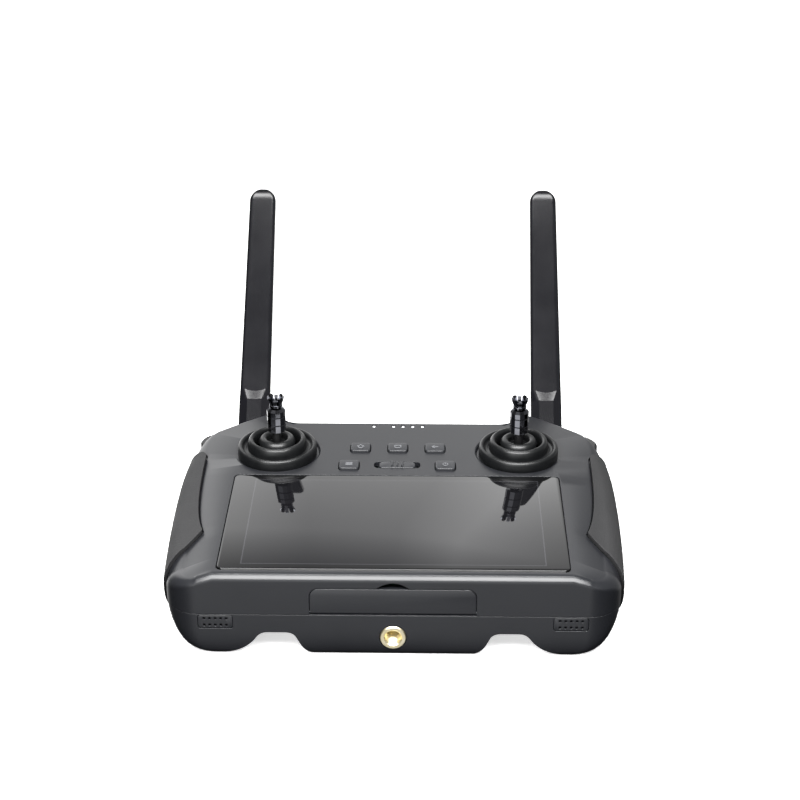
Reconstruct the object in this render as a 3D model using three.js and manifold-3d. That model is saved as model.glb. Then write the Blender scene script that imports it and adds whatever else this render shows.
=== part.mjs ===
// Handheld radio controller with a built-in touch display: two spring-centred sticks, five keys,
// a three-way slide switch, two shoulder dials, two folding paddle antennas and a hinged port door.
// Millimetres, +Z up. The origin is on the resting plane, under the middle of the body.
import * as THREE from 'three';
import { mergeVertices } from 'three/addons/utils/BufferGeometryUtils.js';
import Module from 'manifold-3d';

const wasm = await Module();
wasm.setup();

// ---- driving dimensions ----
const deckZ = 37.5;            // top plate above the resting plane
const seamZ = 19.5;            // parting line between the two shells
const wall = 2.2;              // shell thickness
const gap = 0.3;               // clearance between pieces that touch
const frontY = -65.1;          // front face
const rearY = 66.7;            // rear wall between the shoulders
const plateHalfWidth = 70.8;   // flat top plate, before the wings fall away

const glass = { width: 139.4, depth: 75.8, corner: 2.6, thick: 1.1, y: -21.5, seat: 1.2 };
const frontSeal = 1.2;         // open groove along the front edge of the glass
const display = { width: 121.6, depth: 68.6, thick: 2.4, middle: 2.8 };
const stickX = 53.3;
const stickY = 38.6;
const bootHole = 16;
const gimbal = { width: 37, inside: 33, floor: 14.7, top: 31.9, pinReach: 17, pinHole: 1 };
const yoke = { outer: 8.9, inner: 5.6, thick: 2.6, pin: 0.7, pinMiddle: 10.6, pinLength: 6 };

const stick = { shaft: 1.9, shaftTop: 19.6, hub: 3.4, pin: 0.7, pinLength: 16.6 };
const collar = { low: 10.5, top: 21.6, radius: 4.1, core: 3.6, bands: 3, bandHeight: 3.4, pitch: 3.75 };
const crown = { count: 8, tilt: 24, length: 4.6, root: 0.95, tip: 0.6, ring: 1.35, neck: 2.5 };

const keySize = { width: 8.6, depth: 7.4, corner: 1.4, proud: 1, sunk: 2.6, flange: 0.9 };
const keyPlaces = {
  button_top_left: [-16.5, 41.3],
  button_top_middle: [0, 41.3],
  button_top_right: [16.5, 41.3],
  button_lower_left: [-21, 25.1],
  button_lower_right: [21, 25.1],
};
const slide = { y: 26, slotWidth: 20.2, slotDepth: 5.9, knobWidth: 15.6, knobDepth: 5 };
const lightXs = [-11.2, -2.3, 2, 6.4, 10.8];
const lightY = 62.8;
const lightRadius = 0.8;
const keyBoard = { width: 62, depth: 33, thick: 1.4, y: 34, z: 31.8 };

const door = { halfWidth: 32.8, top: 31.6, bottom: 19.9, corner: 3.6, thick: 1.8 };
const notch = { halfWidth: 7.5, rise: 6.1 };
const portBoardSize = { width: 56, depth: 9, thick: 1.2, y: -55.2, z: 24 };
const ports = [[-18, 9, 3.2], [0, 15, 5], [18, 12, 2.4]];
const insert = { z: 9.1, flangeRadius: 5.25, boreRadius: 3.15, bodyRadius: 4.6, length: 12 };
const speaker = { x: 70.4, z: 16, width: 13.8, height: 6, corner: 1.2 };
const speakerHoles = { pitch: 2.2, count: 5, rows: 2, rowPitch: 3, radius: 0.5 };
const antenna = { x: 69.2, y: 87, z: 17, tilt: 45, length: 130, baseWidth: 14.4, thick: 6 };
const blade = { foot: -2, neckTop: 19.4, faceLow: 24.8, neckScale: 1.3, tipScale: 0.89, tipRound: 6.4 };
const knuckle = { slot: 7.4, tongue: 6.8, pin: 1.2, pinHole: 1.5, eye: 4.4, outerEye: 4.6 };
const socket = { radius: 7.5, seatY: 75.5, bore: 4.5, throat: 6.5, length: 9.5 };
const dial = { x: 81.5, y: 58.6, z: 28.5, radius: 8.6, thick: 5.5, flute: 0.5, bore: 1.5 };
const dialShelf = { width: 17, thick: 1.6, z: 21.5 };
const coverSize = { width: 54, depth: 96, corner: 4, thick: 1.9, y: -2 };
const ledge = { width: 60, depth: 102, top: 4, holeWidth: 50, holeDepth: 84 };
const battery = { width: 48, depth: 80, height: 15 };
const mainBoardSize = { width: 124, depth: 58, thick: 1.6, z: 24.6 };
const chips = [[-30, -22, 16], [8, -20, 14], [36, -30, 12], [-46, -8, 10]];
const caseScrews = [[74, -40], [76, 12]];
const coverScrewYs = [-47, 43];

// ---- materials ----
function finish(color, roughness, metalness = 0) {
  return new THREE.MeshStandardMaterial({ color, roughness, metalness });
}
const shellFinish = finish('#3c3d40', 0.45);
const padFinish = finish('#2b2b2c', 0.85);
const keyFinish = finish('#3a3b3d', 0.5);
const glassFinish = finish('#101114', 0.05);
const boardFinish = finish('#1d3b2c', 0.6);
const blackFinish = finish('#161617', 0.55);
const chromeFinish = finish('#4a4a4e', 0.15, 1);
const rubberFinish = finish('#1f2022', 0.6);
const brassFinish = finish('#c8a24a', 0.25, 1);
const steelFinish = finish('#8d9095', 0.35, 1);
const lightFinish = finish('#f4f6ff', 0.3);
const cellFinish = finish('#2b3f66', 0.5);

// ---- solids and booleans ----
function solid(geometry) {
  const plain = geometry.clone();
  plain.deleteAttribute('normal');
  plain.deleteAttribute('uv');
  const merged = mergeVertices(plain, 1e-4);
  const place = merged.getAttribute('position');
  const index = merged.getIndex().array;
  const kept = [];
  for (let i = 0; i < index.length; i += 3) {
    const [a, b, c] = [index[i], index[i + 1], index[i + 2]];
    if (a !== b && b !== c && a !== c) kept.push(a, b, c);
  }
  return new wasm.Manifold(new wasm.Mesh({
    numProp: 3,
    vertProperties: new Float32Array(place.array),
    triVerts: new Uint32Array(kept),
  }));
}

function geometryOf(manifold) {
  const mesh = manifold.getMesh();
  const geometry = new THREE.BufferGeometry();
  geometry.setAttribute('position', new THREE.BufferAttribute(new Float32Array(mesh.vertProperties), 3));
  geometry.setIndex(new THREE.BufferAttribute(new Uint32Array(mesh.triVerts), 1));
  return geometry;
}

function joined(first, ...others) {
  return others.reduce((sum, next) => sum.add(next), first);
}

function cut(first, ...others) {
  return others.reduce((rest, next) => rest.subtract(next), first);
}

function block(width, depth, height, x, y, z) {
  return solid(new THREE.BoxGeometry(width, depth, height).translate(x, y, z));
}

// a round bar centred on a point, along x, y or z
function bar(radius, length, axis, x, y, z, sides = 12, endRadius = radius) {
  const geometry = new THREE.CylinderGeometry(endRadius, radius, length, sides);
  if (axis === 'x') geometry.rotateZ(-Math.PI / 2);
  if (axis === 'z') geometry.rotateX(Math.PI / 2);
  return solid(geometry.translate(x, y, z));
}

// a lathe turned about the vertical through a point; profile is [radius, z] pairs that close
function turned(profile, x, y, sides = 28) {
  const points = profile.map(([r, z]) => new THREE.Vector2(r, z));
  points.push(points[0].clone());
  const geometry = new THREE.LatheGeometry(points, sides);
  geometry.rotateX(Math.PI / 2);
  return solid(geometry.translate(x, y, 0));
}

function roundedOutline(width, depth, corner) {
  const shape = new THREE.Shape();
  const [w, d] = [width / 2, depth / 2];
  shape.moveTo(-w + corner, -d);
  shape.lineTo(w - corner, -d);
  shape.absarc(w - corner, -d + corner, corner, -Math.PI / 2, 0);
  shape.lineTo(w, d - corner);
  shape.absarc(w - corner, d - corner, corner, 0, Math.PI / 2);
  shape.lineTo(-w + corner, d);
  shape.absarc(-w + corner, d - corner, corner, Math.PI / 2, Math.PI);
  shape.lineTo(-w, -d + corner);
  shape.absarc(-w + corner, -d + corner, corner, Math.PI, Math.PI * 1.5);
  return shape;
}

// the same profile with its heights counted from the top plate
function raised(profile) {
  return profile.map(([r, z]) => [r, deckZ + z]);
}

// an outline in x and y, drawn up from z = bottom
function slab(shape, bottom, height, x = 0, y = 0, curveSegments = 2) {
  const options = { depth: height, bevelEnabled: false, curveSegments };
  return solid(new THREE.ExtrudeGeometry(shape, options).translate(x, y, bottom));
}

// an outline in x and z, drawn from y = near to y = far
function frontSlab(shape, near, far, curveSegments = 4) {
  const options = { depth: far - near, bevelEnabled: false, curveSegments };
  const geometry = new THREE.ExtrudeGeometry(shape, options);
  geometry.rotateX(Math.PI / 2);
  return solid(geometry.translate(0, far, 0));
}

// a plate with rounded corners, drawn up from z = bottom
function plate(width, depth, corner, bottom, height, x, y) {
  return slab(roundedOutline(width, depth, corner), bottom, height, x, y);
}

function mirrored(manifold) {
  const geometry = geometryOf(manifold);
  geometry.scale(-1, 1, 1);
  const index = geometry.getIndex();
  for (let i = 0; i < index.count; i += 3) {
    const first = index.getX(i);
    index.setX(i, index.getX(i + 1));
    index.setX(i + 1, first);
  }
  return solid(geometry);
}

function onSide(manifold, side) {
  return side < 0 ? mirrored(manifold) : manifold;
}

const mix = THREE.MathUtils.lerp;

// ---- body surface ----
// The outline runs from the front middle round the right side to the rear middle. Each station
// holds the outer point and its outward direction, how far in and how low the top edge lies, how
// low the rounding ends, how square the roundings are, and the point where the flat plate ends.
function bezier(points, t) {
  const curve = points.length === 3
    ? new THREE.QuadraticBezierCurve(...points.map(([x, y]) => new THREE.Vector2(x, y)))
    : new THREE.CubicBezierCurve(...points.map(([x, y]) => new THREE.Vector2(x, y)));
  const at = curve.getPoint(t);
  const along = curve.getTangent(t);
  return { x: at.x, y: at.y, nx: along.y, ny: -along.x };
}

function bodyStations() {
  const stations = [];
  const put = (point, lip, drop, round, square, plateX, plateY) => {
    stations.push({ ...point, lip, drop, round, square, plateX, plateY });
  };
  const lip = { depth: 3.2, drop: 3, square: 1.6 };
  const plateFront = frontY + lip.depth;
  for (const x of [0, 36, plateHalfWidth]) {
    put({ x, y: frontY, nx: 0, ny: -1 }, lip.depth, 0, lip.drop, lip.square, x, plateFront);
  }
  const corner = { x: 77, y: frontY + 14, radius: 14 };
  const turns = 5;
  for (let i = 0; i <= turns; i += 1) {
    const t = i / turns;
    const angle = (t - 1) * Math.PI / 2;
    const point = {
      x: corner.x + corner.radius * Math.cos(angle),
      y: corner.y + corner.radius * Math.sin(angle),
      nx: Math.cos(angle),
      ny: Math.sin(angle),
    };
    const easeIn = Math.sqrt(t);
    put(point, mix(lip.depth, 8, t), mix(1.9, 5.2, easeIn), mix(4.8, 13, t), mix(lip.square, 2, easeIn),
      plateHalfWidth, mix(plateFront + 0.8, corner.y, t));
  }
  const sideTop = [42.5, 16.5];
  const sideSteps = 5;
  for (let i = 1; i <= sideSteps; i += 1) {
    const y = mix(corner.y, sideTop[0], i / sideSteps);
    const reach = y < sideTop[1] ? (y - sideTop[1]) / 67.6 : (y - sideTop[1]) / 26;
    const fall = y < sideTop[1] ? 2.4 : 1.3;
    const x = 93.4 - fall * reach * reach;
    const plateY = mix(corner.y, 34, i / sideSteps);
    const inward = Math.max(0, plateY - 18) * 0.47;
    put({ x, y, nx: 1, ny: 0 }, 8, mix(5.2, 4.4, i / sideSteps), 13, 2,
      plateHalfWidth - inward, plateY);
  }
  const cornerSteps = 4;
  for (let i = 1; i <= cornerSteps; i += 1) {
    const t = i / cornerSteps;
    const point = bezier([[92.1, 42.5], [91.8, 58.5], [84, 65.5]], t);
    put(point, mix(8, 2, t), 4.4, mix(13, 8, t), 2, mix(63.3, 58, t), mix(34, 46, t));
  }
  const sweep = [[76.8, 69.6, 3.4], [69.4, 73.6, 2.4]];
  for (const [x, y, drop] of sweep) {
    const t = (84 - x) / 22;
    put({ x, y, nx: 0.48, ny: 0.88 }, 2, drop, drop + 2.4, 2, mix(58, 51, t), mix(46, 62, t));
  }
  const innerSteps = 3;
  for (let i = 0; i <= innerSteps; i += 1) {
    const t = i / innerSteps;
    const point = bezier([[62, 77.4], [55, 80], [56, 67.5], [46, rearY]], t);
    const turn = Math.min(1, t * 1.4);
    put({ ...point, nx: mix(0.4, -0.1, turn), ny: mix(0.92, 0.99, turn) }, 1.6, mix(1.6, 0, turn),
      mix(3.6, 1.8, turn), 2, mix(51, 45.4, t), mix(62, rearY - 1.6, Math.sqrt(t)));
  }
  put({ x: 22, y: rearY, nx: 0, ny: 1 }, 1.6, 0, 1.8, 2, 22, rearY - 1.6);
  put({ x: 0, y: rearY, nx: 0, ny: 1 }, 1.6, 0, 1.8, 2, 0, rearY - 1.6);
  return stations;
}

// the foot of a station: where its side wall ends on the resting plane
function footOf(station) {
  const middleY = -11.5;
  const depthScale = station.y < middleY ? 0.91 : 0.8;
  return [station.x * 0.8, middleY + (station.y - middleY) * depthScale];
}

// rings of points from the edge of the plate to the foot; inset moves them all inwards
function bodyRings(inset, topSteps, lowSteps) {
  const stations = bodyStations();
  const rings = [];
  const ringAt = (place) => {
    const half = stations.map(place);
    const other = half.slice(1, -1).reverse().map(([x, y, z]) => [-x, y, z]);
    rings.push([...half, ...other]);
  };
  const moved = (s, x, y, z) => [Math.max(0, x - s.nx * inset), y - s.ny * inset, z];
  const top = deckZ - inset;
  ringAt((s) => {
    const lift = inset > 0 ? inset * 0.6 : 0;
    return [s.plateX === 0 ? 0 : s.plateX - lift, s.plateY - Math.sign(s.plateY) * lift, top];
  });
  for (let i = 0; i <= topSteps; i += 1) {
    const angle = (i / topSteps) * Math.PI / 2;
    ringAt((s) => {
      const out = Math.sin(angle) ** (2 / s.square);
      const down = 1 - Math.cos(angle) ** (2 / s.square);
      const lip = s.lip * (1 - out);
      const z = top - s.drop - (s.round - s.drop) * down;
      return moved(s, s.x - s.nx * lip, s.y - s.ny * lip, z);
    });
  }
  for (let i = 0; i <= lowSteps; i += 1) {
    const angle = (i / lowSteps) * Math.PI / 2;
    ringAt((s) => {
      const front = Math.max(0, -s.ny);
      const square = mix(2, 4.5, front * front);
      const down = Math.sin(angle) ** (2 / square);
      const turn = 1 - Math.cos(angle) ** (2 / square);
      const [fx, fy] = footOf(s);
      const z = mix(seamZ + 2, inset, down);
      return moved(s, mix(s.x, fx, turn), mix(s.y, fy, turn), z);
    });
  }
  return rings;
}

// a closed solid from rings that all have the same number of points
function ringLoft(rings) {
  const count = rings[0].length;
  const positions = rings.flat(2);
  const faces = [];
  for (let ring = 0; ring < rings.length - 1; ring += 1) {
    for (let i = 0; i < count; i += 1) {
      const next = (i + 1) % count;
      const [a, b] = [ring * count + i, ring * count + next];
      const [c, d] = [a + count, b + count];
      faces.push(a, c, b, b, c, d);
    }
  }
  const cap = (ring, flip) => {
    const outline = rings[ring].map(([x, y]) => new THREE.Vector2(x, y));
    const start = ring * count;
    for (const [a, b, c] of THREE.ShapeUtils.triangulateShape(outline, [])) {
      if (flip) faces.push(start + a, start + c, start + b);
      else faces.push(start + a, start + b, start + c);
    }
  };
  cap(0, false);
  cap(rings.length - 1, true);
  const geometry = new THREE.BufferGeometry();
  geometry.setAttribute('position', new THREE.BufferAttribute(new Float32Array(positions), 3));
  geometry.setIndex(faces);
  return solid(geometry);
}

// finger channels that run front to back under the body, between the middle block and the grips
function channel(grow) {
  const shape = new THREE.Shape();
  shape.moveTo(30.6 - grow, -2);
  shape.lineTo(30.6 - grow, 0);
  shape.bezierCurveTo(36 - grow, 1.5, 37 - grow, 6, 38.6 - grow, 9);
  shape.quadraticCurveTo(39.8 - grow, 11.2 + grow, 43, 11.2 + grow);
  shape.lineTo(50, 11.2 + grow);
  shape.quadraticCurveTo(53 + grow, 11.2 + grow, 54.8 + grow, 8.2);
  shape.bezierCurveTo(57 + grow, 5, 62 + grow, 0.6, 71 + grow, 0);
  shape.lineTo(71 + grow, -2);
  return frontSlab(shape, frontY - 10, 90, grow > 0 ? 2 : 4);
}

const bodyOuter = ringLoft(bodyRings(0, 3, 5));
const bodyInner = cut(
  ringLoft(bodyRings(wall, 1, 3)),
  channel(wall),
  mirrored(channel(wall)),
);
const above = block(240, 240, 60, 0, 0, seamZ + 30 + gap / 2);
const below = block(240, 240, 60, 0, 0, seamZ - 30 - gap / 2);

const group = new THREE.Group();
group.name = 'radio_controller';

function addPiece(name, manifold, material) {
  const mesh = new THREE.Mesh(geometryOf(manifold), material);
  mesh.name = name;
  group.add(mesh);
}

// adds a piece and its mirror image
function addPair(name, manifold, material) {
  addPiece(`${name}_right`, manifold, material);
  addPiece(`${name}_left`, mirrored(manifold), material);
}

function both(manifold) {
  return joined(manifold, mirrored(manifold));
}

// ---- shells ----
function doorOutline(grow) {
  const [w, top, low] = [door.halfWidth + grow, door.top + grow, door.bottom - grow];
  const shape = new THREE.Shape();
  shape.moveTo(-w, low);
  shape.lineTo(w, low);
  shape.lineTo(w, top - door.corner);
  shape.absarc(w - door.corner, top - door.corner, door.corner, 0, Math.PI / 2);
  shape.lineTo(-w + door.corner, top);
  shape.absarc(-w + door.corner, top - door.corner, door.corner, Math.PI / 2, Math.PI);
  return shape;
}

function notchOutline() {
  const shape = new THREE.Shape();
  const low = door.top - 0.5;
  shape.moveTo(-notch.halfWidth, low);
  shape.lineTo(notch.halfWidth, low);
  shape.quadraticCurveTo(0, door.top + notch.rise, -notch.halfWidth, low);
  return shape;
}

const hinge = { y: frontY + door.thick / 2, z: door.bottom + door.thick / 2 };

function socketBore() {
  return joined(
    bar(socket.bore, 20, 'y', antenna.x, socket.seatY - 5, antenna.z, 16),
    bar(socket.throat, 10, 'y', antenna.x, socket.seatY + 5, antenna.z, 16),
  );
}

function socketBoss() {
  const y = socket.seatY - socket.length / 2;
  return both(bar(socket.radius, socket.length, 'y', antenna.x, y, antenna.z, 20));
}

function topShell() {
  const skin = bodyOuter.intersect(above).subtract(bodyInner);
  const doorFrame = block(72, 2.4, 13.2, 0, frontY + wall + 0.8, seamZ + 6.75);
  const bosses = caseScrews.map(([x, y]) => both(bar(4.2, 13.5, 'z', x, y, seamZ + 6.9, 16)));
  const shelf = block(dialShelf.width, dialShelf.width, dialShelf.thick, dial.x, dial.y, dialShelf.z);
  const shelves = both(shelf.intersect(bodyOuter));
  const lightBar = block(32, 6, 2, 0, lightY + 1, 36.1).intersect(bodyOuter);
  const body = joined(skin, doorFrame, lightBar, socketBoss().intersect(above), shelves, ...bosses);
  const pocketDepth = glass.depth + 2 * gap + frontSeal;
  const pocketLow = deckZ - glass.seat - gap;
  const pocketY = glass.y - frontSeal / 2;
  const pocket = plate(glass.width + 2 * gap, pocketDepth, glass.corner, pocketLow, 5, 0, pocketY);
  const window = plate(display.width + 2.4, display.depth + 2.4, 2, 30, 10, 0, glass.y);
  const dishProfile = [[0, -1.5], [18.4, -1.5], [19.5, 0.2], [0, 0.2]];
  const dish = turned(raised(dishProfile), stickX, stickY, 30);
  const hole = bar(bootHole, 12, 'z', stickX, stickY, deckZ, 28);
  const keys = Object.values(keyPlaces).map(([x, y]) => (
    plate(keySize.width + 2 * gap, keySize.depth + 2 * gap, keySize.corner, 32, 10, x, y)
  ));
  const slot = plate(slide.slotWidth, slide.slotDepth, 2.2, 32, 10, 0, slide.y);
  const lights = lightXs.map((x) => bar(lightRadius + 0.25, 12, 'z', x, lightY, deckZ, 8));
  const recess = frontSlab(doorOutline(gap), frontY - 5, frontY + door.thick + gap);
  const mouth = block(56, 20, 8, 0, frontY, seamZ + 6);
  const fingerNotch = frontSlab(notchOutline(), frontY - 5, frontY + 2 * wall);
  const pinHole = bar(0.9, 71, 'x', 0, hinge.y, hinge.z, 12);
  const screwHoles = caseScrews.map(([x, y]) => both(bar(1.75, 12, 'z', x, y, seamZ, 12)));
  const dialSlot = bar(dial.radius + 0.5, dial.thick + 2 * gap, 'z', dial.x, dial.y, dial.z, 22);
  const bore = socketBore();
  return cut(body, pocket, window, both(dish), both(hole), ...keys, slot, ...lights, recess, mouth,
    fingerNotch, pinHole, ...screwHoles, both(dialSlot), both(bore));
}

function bottomShell() {
  const skin = cut(bodyOuter, channel(0), mirrored(channel(0))).intersect(below).subtract(bodyInner);
  const rim = plate(ledge.width, ledge.depth, 5, 1, ledge.top - 1, 0, coverSize.y);
  const insertBoss = bar(7.2, 13, 'y', 0, frontY + 8, insert.z, 24);
  const bosses = caseScrews.map(([x, y]) => {
    const boss = bar(4.6, seamZ - 1.35, 'z', x, y, (seamZ + 1) / 2, 16);
    return both(boss).intersect(below);
  });
  const body = joined(skin, rim, insertBoss, socketBoss().intersect(below), ...bosses);
  const openingWidth = coverSize.width + 2 * gap;
  const openingDepth = coverSize.depth + 2 * gap;
  const opening = plate(openingWidth, openingDepth, coverSize.corner, -3, 5.3, 0, coverSize.y);
  const bay = plate(ledge.holeWidth, ledge.holeDepth, 3, -3, 10, 0, coverSize.y);
  const insertHole = joined(
    bar(insert.flangeRadius + gap, 6.6, 'y', 0, frontY - 2, insert.z, 24),
    bar(insert.bodyRadius + gap, 13, 'y', 0, frontY + 6.2, insert.z, 20),
  );
  const grille = both(frontSlab(speakerOutline(gap), frontY - 5, frontY + 1.9));
  const grilleMouth = both(block(11, 10, 4.4, speaker.x, frontY, speaker.z));
  const screwHoles = caseScrews.map(([x, y]) => both(joined(
    bar(1.75, 60, 'z', x, y, 0, 10),
    bar(3.4, 8, 'z', x, y, 0, 10),
  )));
  const coverHoles = coverScrewYs.map((y) => bar(1.4, 20, 'z', 0, y, 0, 12));
  const bore = both(socketBore());
  const vents = [-3, -2, -1, 0, 1, 2, 3].map((i) => block(1.6, 20, 6, i * 5, rearY - 6, seamZ - 6));
  return cut(body, opening, bay, insertHole, grille, grilleMouth, ...screwHoles, ...coverHoles, bore,
    ...vents);
}

function speakerOutline(grow) {
  const shape = roundedOutline(speaker.width + 2 * grow, speaker.height + 2 * grow, speaker.corner);
  const middle = new THREE.Vector2(speaker.x, speaker.z);
  return new THREE.Shape(shape.getPoints(3).map((point) => point.add(middle)));
}

addPiece('top_shell', topShell(), shellFinish);
addPiece('bottom_shell', bottomShell(), shellFinish);

function batteryCover() {
  const { width, depth, corner, thick, y: middleY } = coverSize;
  const panel = plate(width, depth, corner, 0, thick, 0, middleY);
  const holes = coverScrewYs.map((y) => joined(
    bar(1.5, 20, 'z', 0, y, 0, 8),
    bar(2.6, 3, 'z', 0, y, 0, 12),
  ));
  return cut(panel, ...holes);
}
addPiece('battery_cover', batteryCover(), shellFinish);

// ---- grip pads ----
function padOutline() {
  const shape = new THREE.Shape();
  shape.moveTo(110, 43.5);
  shape.lineTo(88, 43.5);
  shape.quadraticCurveTo(85.4, 43, 85.2, 39);
  shape.bezierCurveTo(85, 12, 84, -12, 79, -27.5);
  shape.bezierCurveTo(83, -35.5, 88.5, -42, 92, -50);
  shape.quadraticCurveTo(95, -60, 110, -60);
  return shape;
}
const padSkin = cut(ringLoft(bodyRings(-1.3, 3, 4)), ringLoft(bodyRings(-gap, 3, 4)));
addPair('grip_pad', padSkin.intersect(slab(padOutline(), 9, 60, 0, 0, 6)), padFinish);

// ---- display ----
function screenGlass() {
  return plate(glass.width, glass.depth, glass.corner - gap, deckZ - glass.seat, glass.thick, 0, glass.y);
}
function displayPanel() {
  return block(display.width, display.depth, display.thick, 0, glass.y, deckZ - display.middle);
}
addPiece('screen_glass', screenGlass(), glassFinish);
addPiece('display_panel', displayPanel(), blackFinish);

// ---- gimbals ----
function bootProfile() {
  return [[17.5, -1.2], [17.3, 2.6], [16.3, 3.65], [15.2, 2.6], [15, 1.9], [13, 1.9],
    [12.6, 5.4], [11.35, 6.65], [10.1, 5.4], [9.9, 1.2], [16.6, 1.2], [16.6, -1.2]];
}
function capProfile() {
  return [[2.2, 3.3], [4.9, 3.3], [5.2, 4.9], [7.7, 4.9], [8.1, 4.5], [8.35, 4.6], [7.7, 6.3], [7.2, 7],
    [6.1, 7.3], [5.1, 7], [4.6, 6.3], [4.4, 3.9], [2.2, 3.9]];
}
addPair('gimbal_boot', turned(raised(bootProfile()), stickX, stickY, 22), rubberFinish);
addPair('boot_cap', turned(raised(capProfile()), stickX, stickY, 16), rubberFinish);

function gimbalFrame() {
  const height = gimbal.top - gimbal.floor;
  const cup = cut(
    block(gimbal.width, gimbal.width, height, stickX, stickY, (gimbal.top + gimbal.floor) / 2),
    block(gimbal.inside, gimbal.inside, 20, stickX, stickY, gimbal.floor + 12.3),
  );
  const posts = [-1, 1].map((way) => joined(
    block(6.8, 6, 4, stickX + way * 14.6, stickY, 29.9),
    block(3, 6, 10.4, stickX + way * 12.7, stickY, deckZ - 4.3),
  ));
  const pinHole = bar(gimbal.pinHole, 2 * gimbal.pinReach, 'x', stickX, stickY, deckZ, 12);
  return cut(joined(cup, ...posts), pinHole);
}
addPair('gimbal_frame', gimbalFrame(), blackFinish);

function gimbalYoke() {
  const ring = cut(
    bar(yoke.outer, yoke.thick, 'z', stickX, stickY, deckZ - 0.5, 20),
    bar(yoke.inner, 10, 'z', stickX, stickY, deckZ, 16),
  );
  const pins = [-1, 1].map((way) => (
    bar(yoke.pin, yoke.pinLength, 'x', stickX + way * yoke.pinMiddle, stickY, deckZ, 10)
  ));
  return cut(joined(ring, ...pins), bar(gimbal.pinHole, 30, 'y', stickX, stickY, deckZ, 12));
}
addPair('gimbal_yoke', gimbalYoke(), blackFinish);

function stickShaft() {
  return joined(
    bar(stick.hub, 5, 'z', stickX, stickY, deckZ, 16),
    bar(stick.shaft, stick.shaftTop, 'z', stickX, stickY, deckZ + stick.shaftTop / 2, 16),
    bar(1.6, 12, 'z', stickX, stickY, deckZ - 6, 12),
    bar(stick.pin, stick.pinLength, 'y', stickX, stickY, deckZ, 10),
  );
}
addPair('stick_shaft', stickShaft(), blackFinish);

// an outline with flutes round it
function flutedOutline(outer, inner, flutes) {
  const shape = new THREE.Shape();
  for (let i = 0; i < flutes * 4; i += 1) {
    const angle = (i / (flutes * 4)) * Math.PI * 2;
    const radius = i % 4 < 2 ? outer : inner;
    shape[i === 0 ? 'moveTo' : 'lineTo'](radius * Math.cos(angle), radius * Math.sin(angle));
  }
  return shape;
}

function stickCollar() {
  const middle = deckZ + (collar.top + collar.low) / 2;
  const core = bar(collar.core, collar.top - collar.low, 'z', stickX, stickY, middle, 12);
  const bands = [];
  for (let i = 0; i < collar.bands; i += 1) {
    const z = deckZ + collar.low + i * collar.pitch + collar.bandHeight / 2;
    bands.push(bar(collar.radius, collar.bandHeight, 'z', stickX, stickY, z, 12));
  }
  const boreTop = deckZ + stick.shaftTop + gap;
  const bore = bar(stick.shaft + gap, 20, 'z', stickX, stickY, boreTop - 10, 10);
  return cut(joined(core, ...bands), bore);
}
addPair('stick_collar', stickCollar(), chromeFinish);

function stickCrown() {
  const low = deckZ + collar.top + gap;
  const neck = bar(crown.neck, 2.4, 'z', stickX, stickY, low + 1.2, 16);
  const prongs = [];
  for (let i = 0; i < crown.count; i += 1) {
    const prong = new THREE.CylinderGeometry(crown.tip, crown.root, crown.length, 5);
    prong.rotateX(Math.PI / 2).translate(0, 0, crown.length / 2);
    prong.rotateY(THREE.MathUtils.degToRad(crown.tilt)).translate(crown.ring, 0, low + 1.5);
    prong.rotateZ((i / crown.count) * Math.PI * 2);
    prongs.push(solid(prong.translate(stickX, stickY, 0)));
  }
  return joined(neck, ...prongs);
}
addPair('stick_crown', stickCrown(), chromeFinish);

// ---- keys, slide switch and lights ----
for (const [name, [x, y]] of Object.entries(keyPlaces)) {
  const { width, depth, corner, proud, sunk, flange } = keySize;
  const cap = plate(width, depth, corner - gap, deckZ - sunk, sunk + proud, x, y);
  const rim = plate(width + 2 * flange, depth + 2 * flange, corner, deckZ - 3.4, 0.9, x, y);
  addPiece(name, joined(cap, rim), keyFinish);
}

function keypadBoard() {
  const { width, depth, thick, y: middleY, z } = keyBoard;
  const board = block(width, depth, thick, 0, middleY, z);
  const domes = Object.values(keyPlaces).map(([x, y]) => bar(2.4, 1, 'z', x, y, z + 0.9, 8));
  return joined(board, ...domes);
}
addPiece('keypad_board', keypadBoard(), boardFinish);
addPiece('slide_switch_body', block(20, 6, 1, 0, slide.y, 33.4), steelFinish);

function slideKnob() {
  const flange = block(17, 7.6, 0.8, 0, slide.y, deckZ - 2.9);
  const knob = plate(slide.knobWidth, slide.knobDepth, 1.6, deckZ - 3, 3.2, 0, slide.y);
  const ribs = [-2.2, 0, 2.2].map((x) => (
    block(0.8, slide.knobDepth - 0.6, 1.6, x, slide.y, deckZ + 0.3)
  ));
  return joined(flange, knob, ...ribs);
}
addPiece('slide_switch_knob', slideKnob(), keyFinish);

function lightPipe() {
  const rail = block(26, 2.2, 1.4, 0, lightY - 0.8, 34.2);
  const stubs = lightXs.map((x) => bar(lightRadius, 2.7, 'z', x, lightY, deckZ - 1.35, 8));
  return joined(rail, ...stubs);
}
addPiece('status_light_pipe', lightPipe(), lightFinish);

// ---- front: port door, tripod insert, speakers ----
function portDoor() {
  const panel = frontSlab(doorOutline(0), frontY, frontY + door.thick);
  const squareFoot = block(80, 6, door.thick / 2 + 1, 0, frontY, door.bottom + door.thick / 4 - 0.5);
  const barrel = bar(door.thick / 2, 2 * door.halfWidth, 'x', 0, hinge.y, hinge.z, 16);
  return cut(joined(cut(panel, squareFoot), barrel), bar(0.6, 90, 'x', 0, hinge.y, hinge.z, 8));
}
addPiece('port_door', portDoor(), shellFinish);
addPiece('port_door_pin', bar(0.35, 69, 'x', 0, hinge.y, hinge.z, 8), steelFinish);

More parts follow.
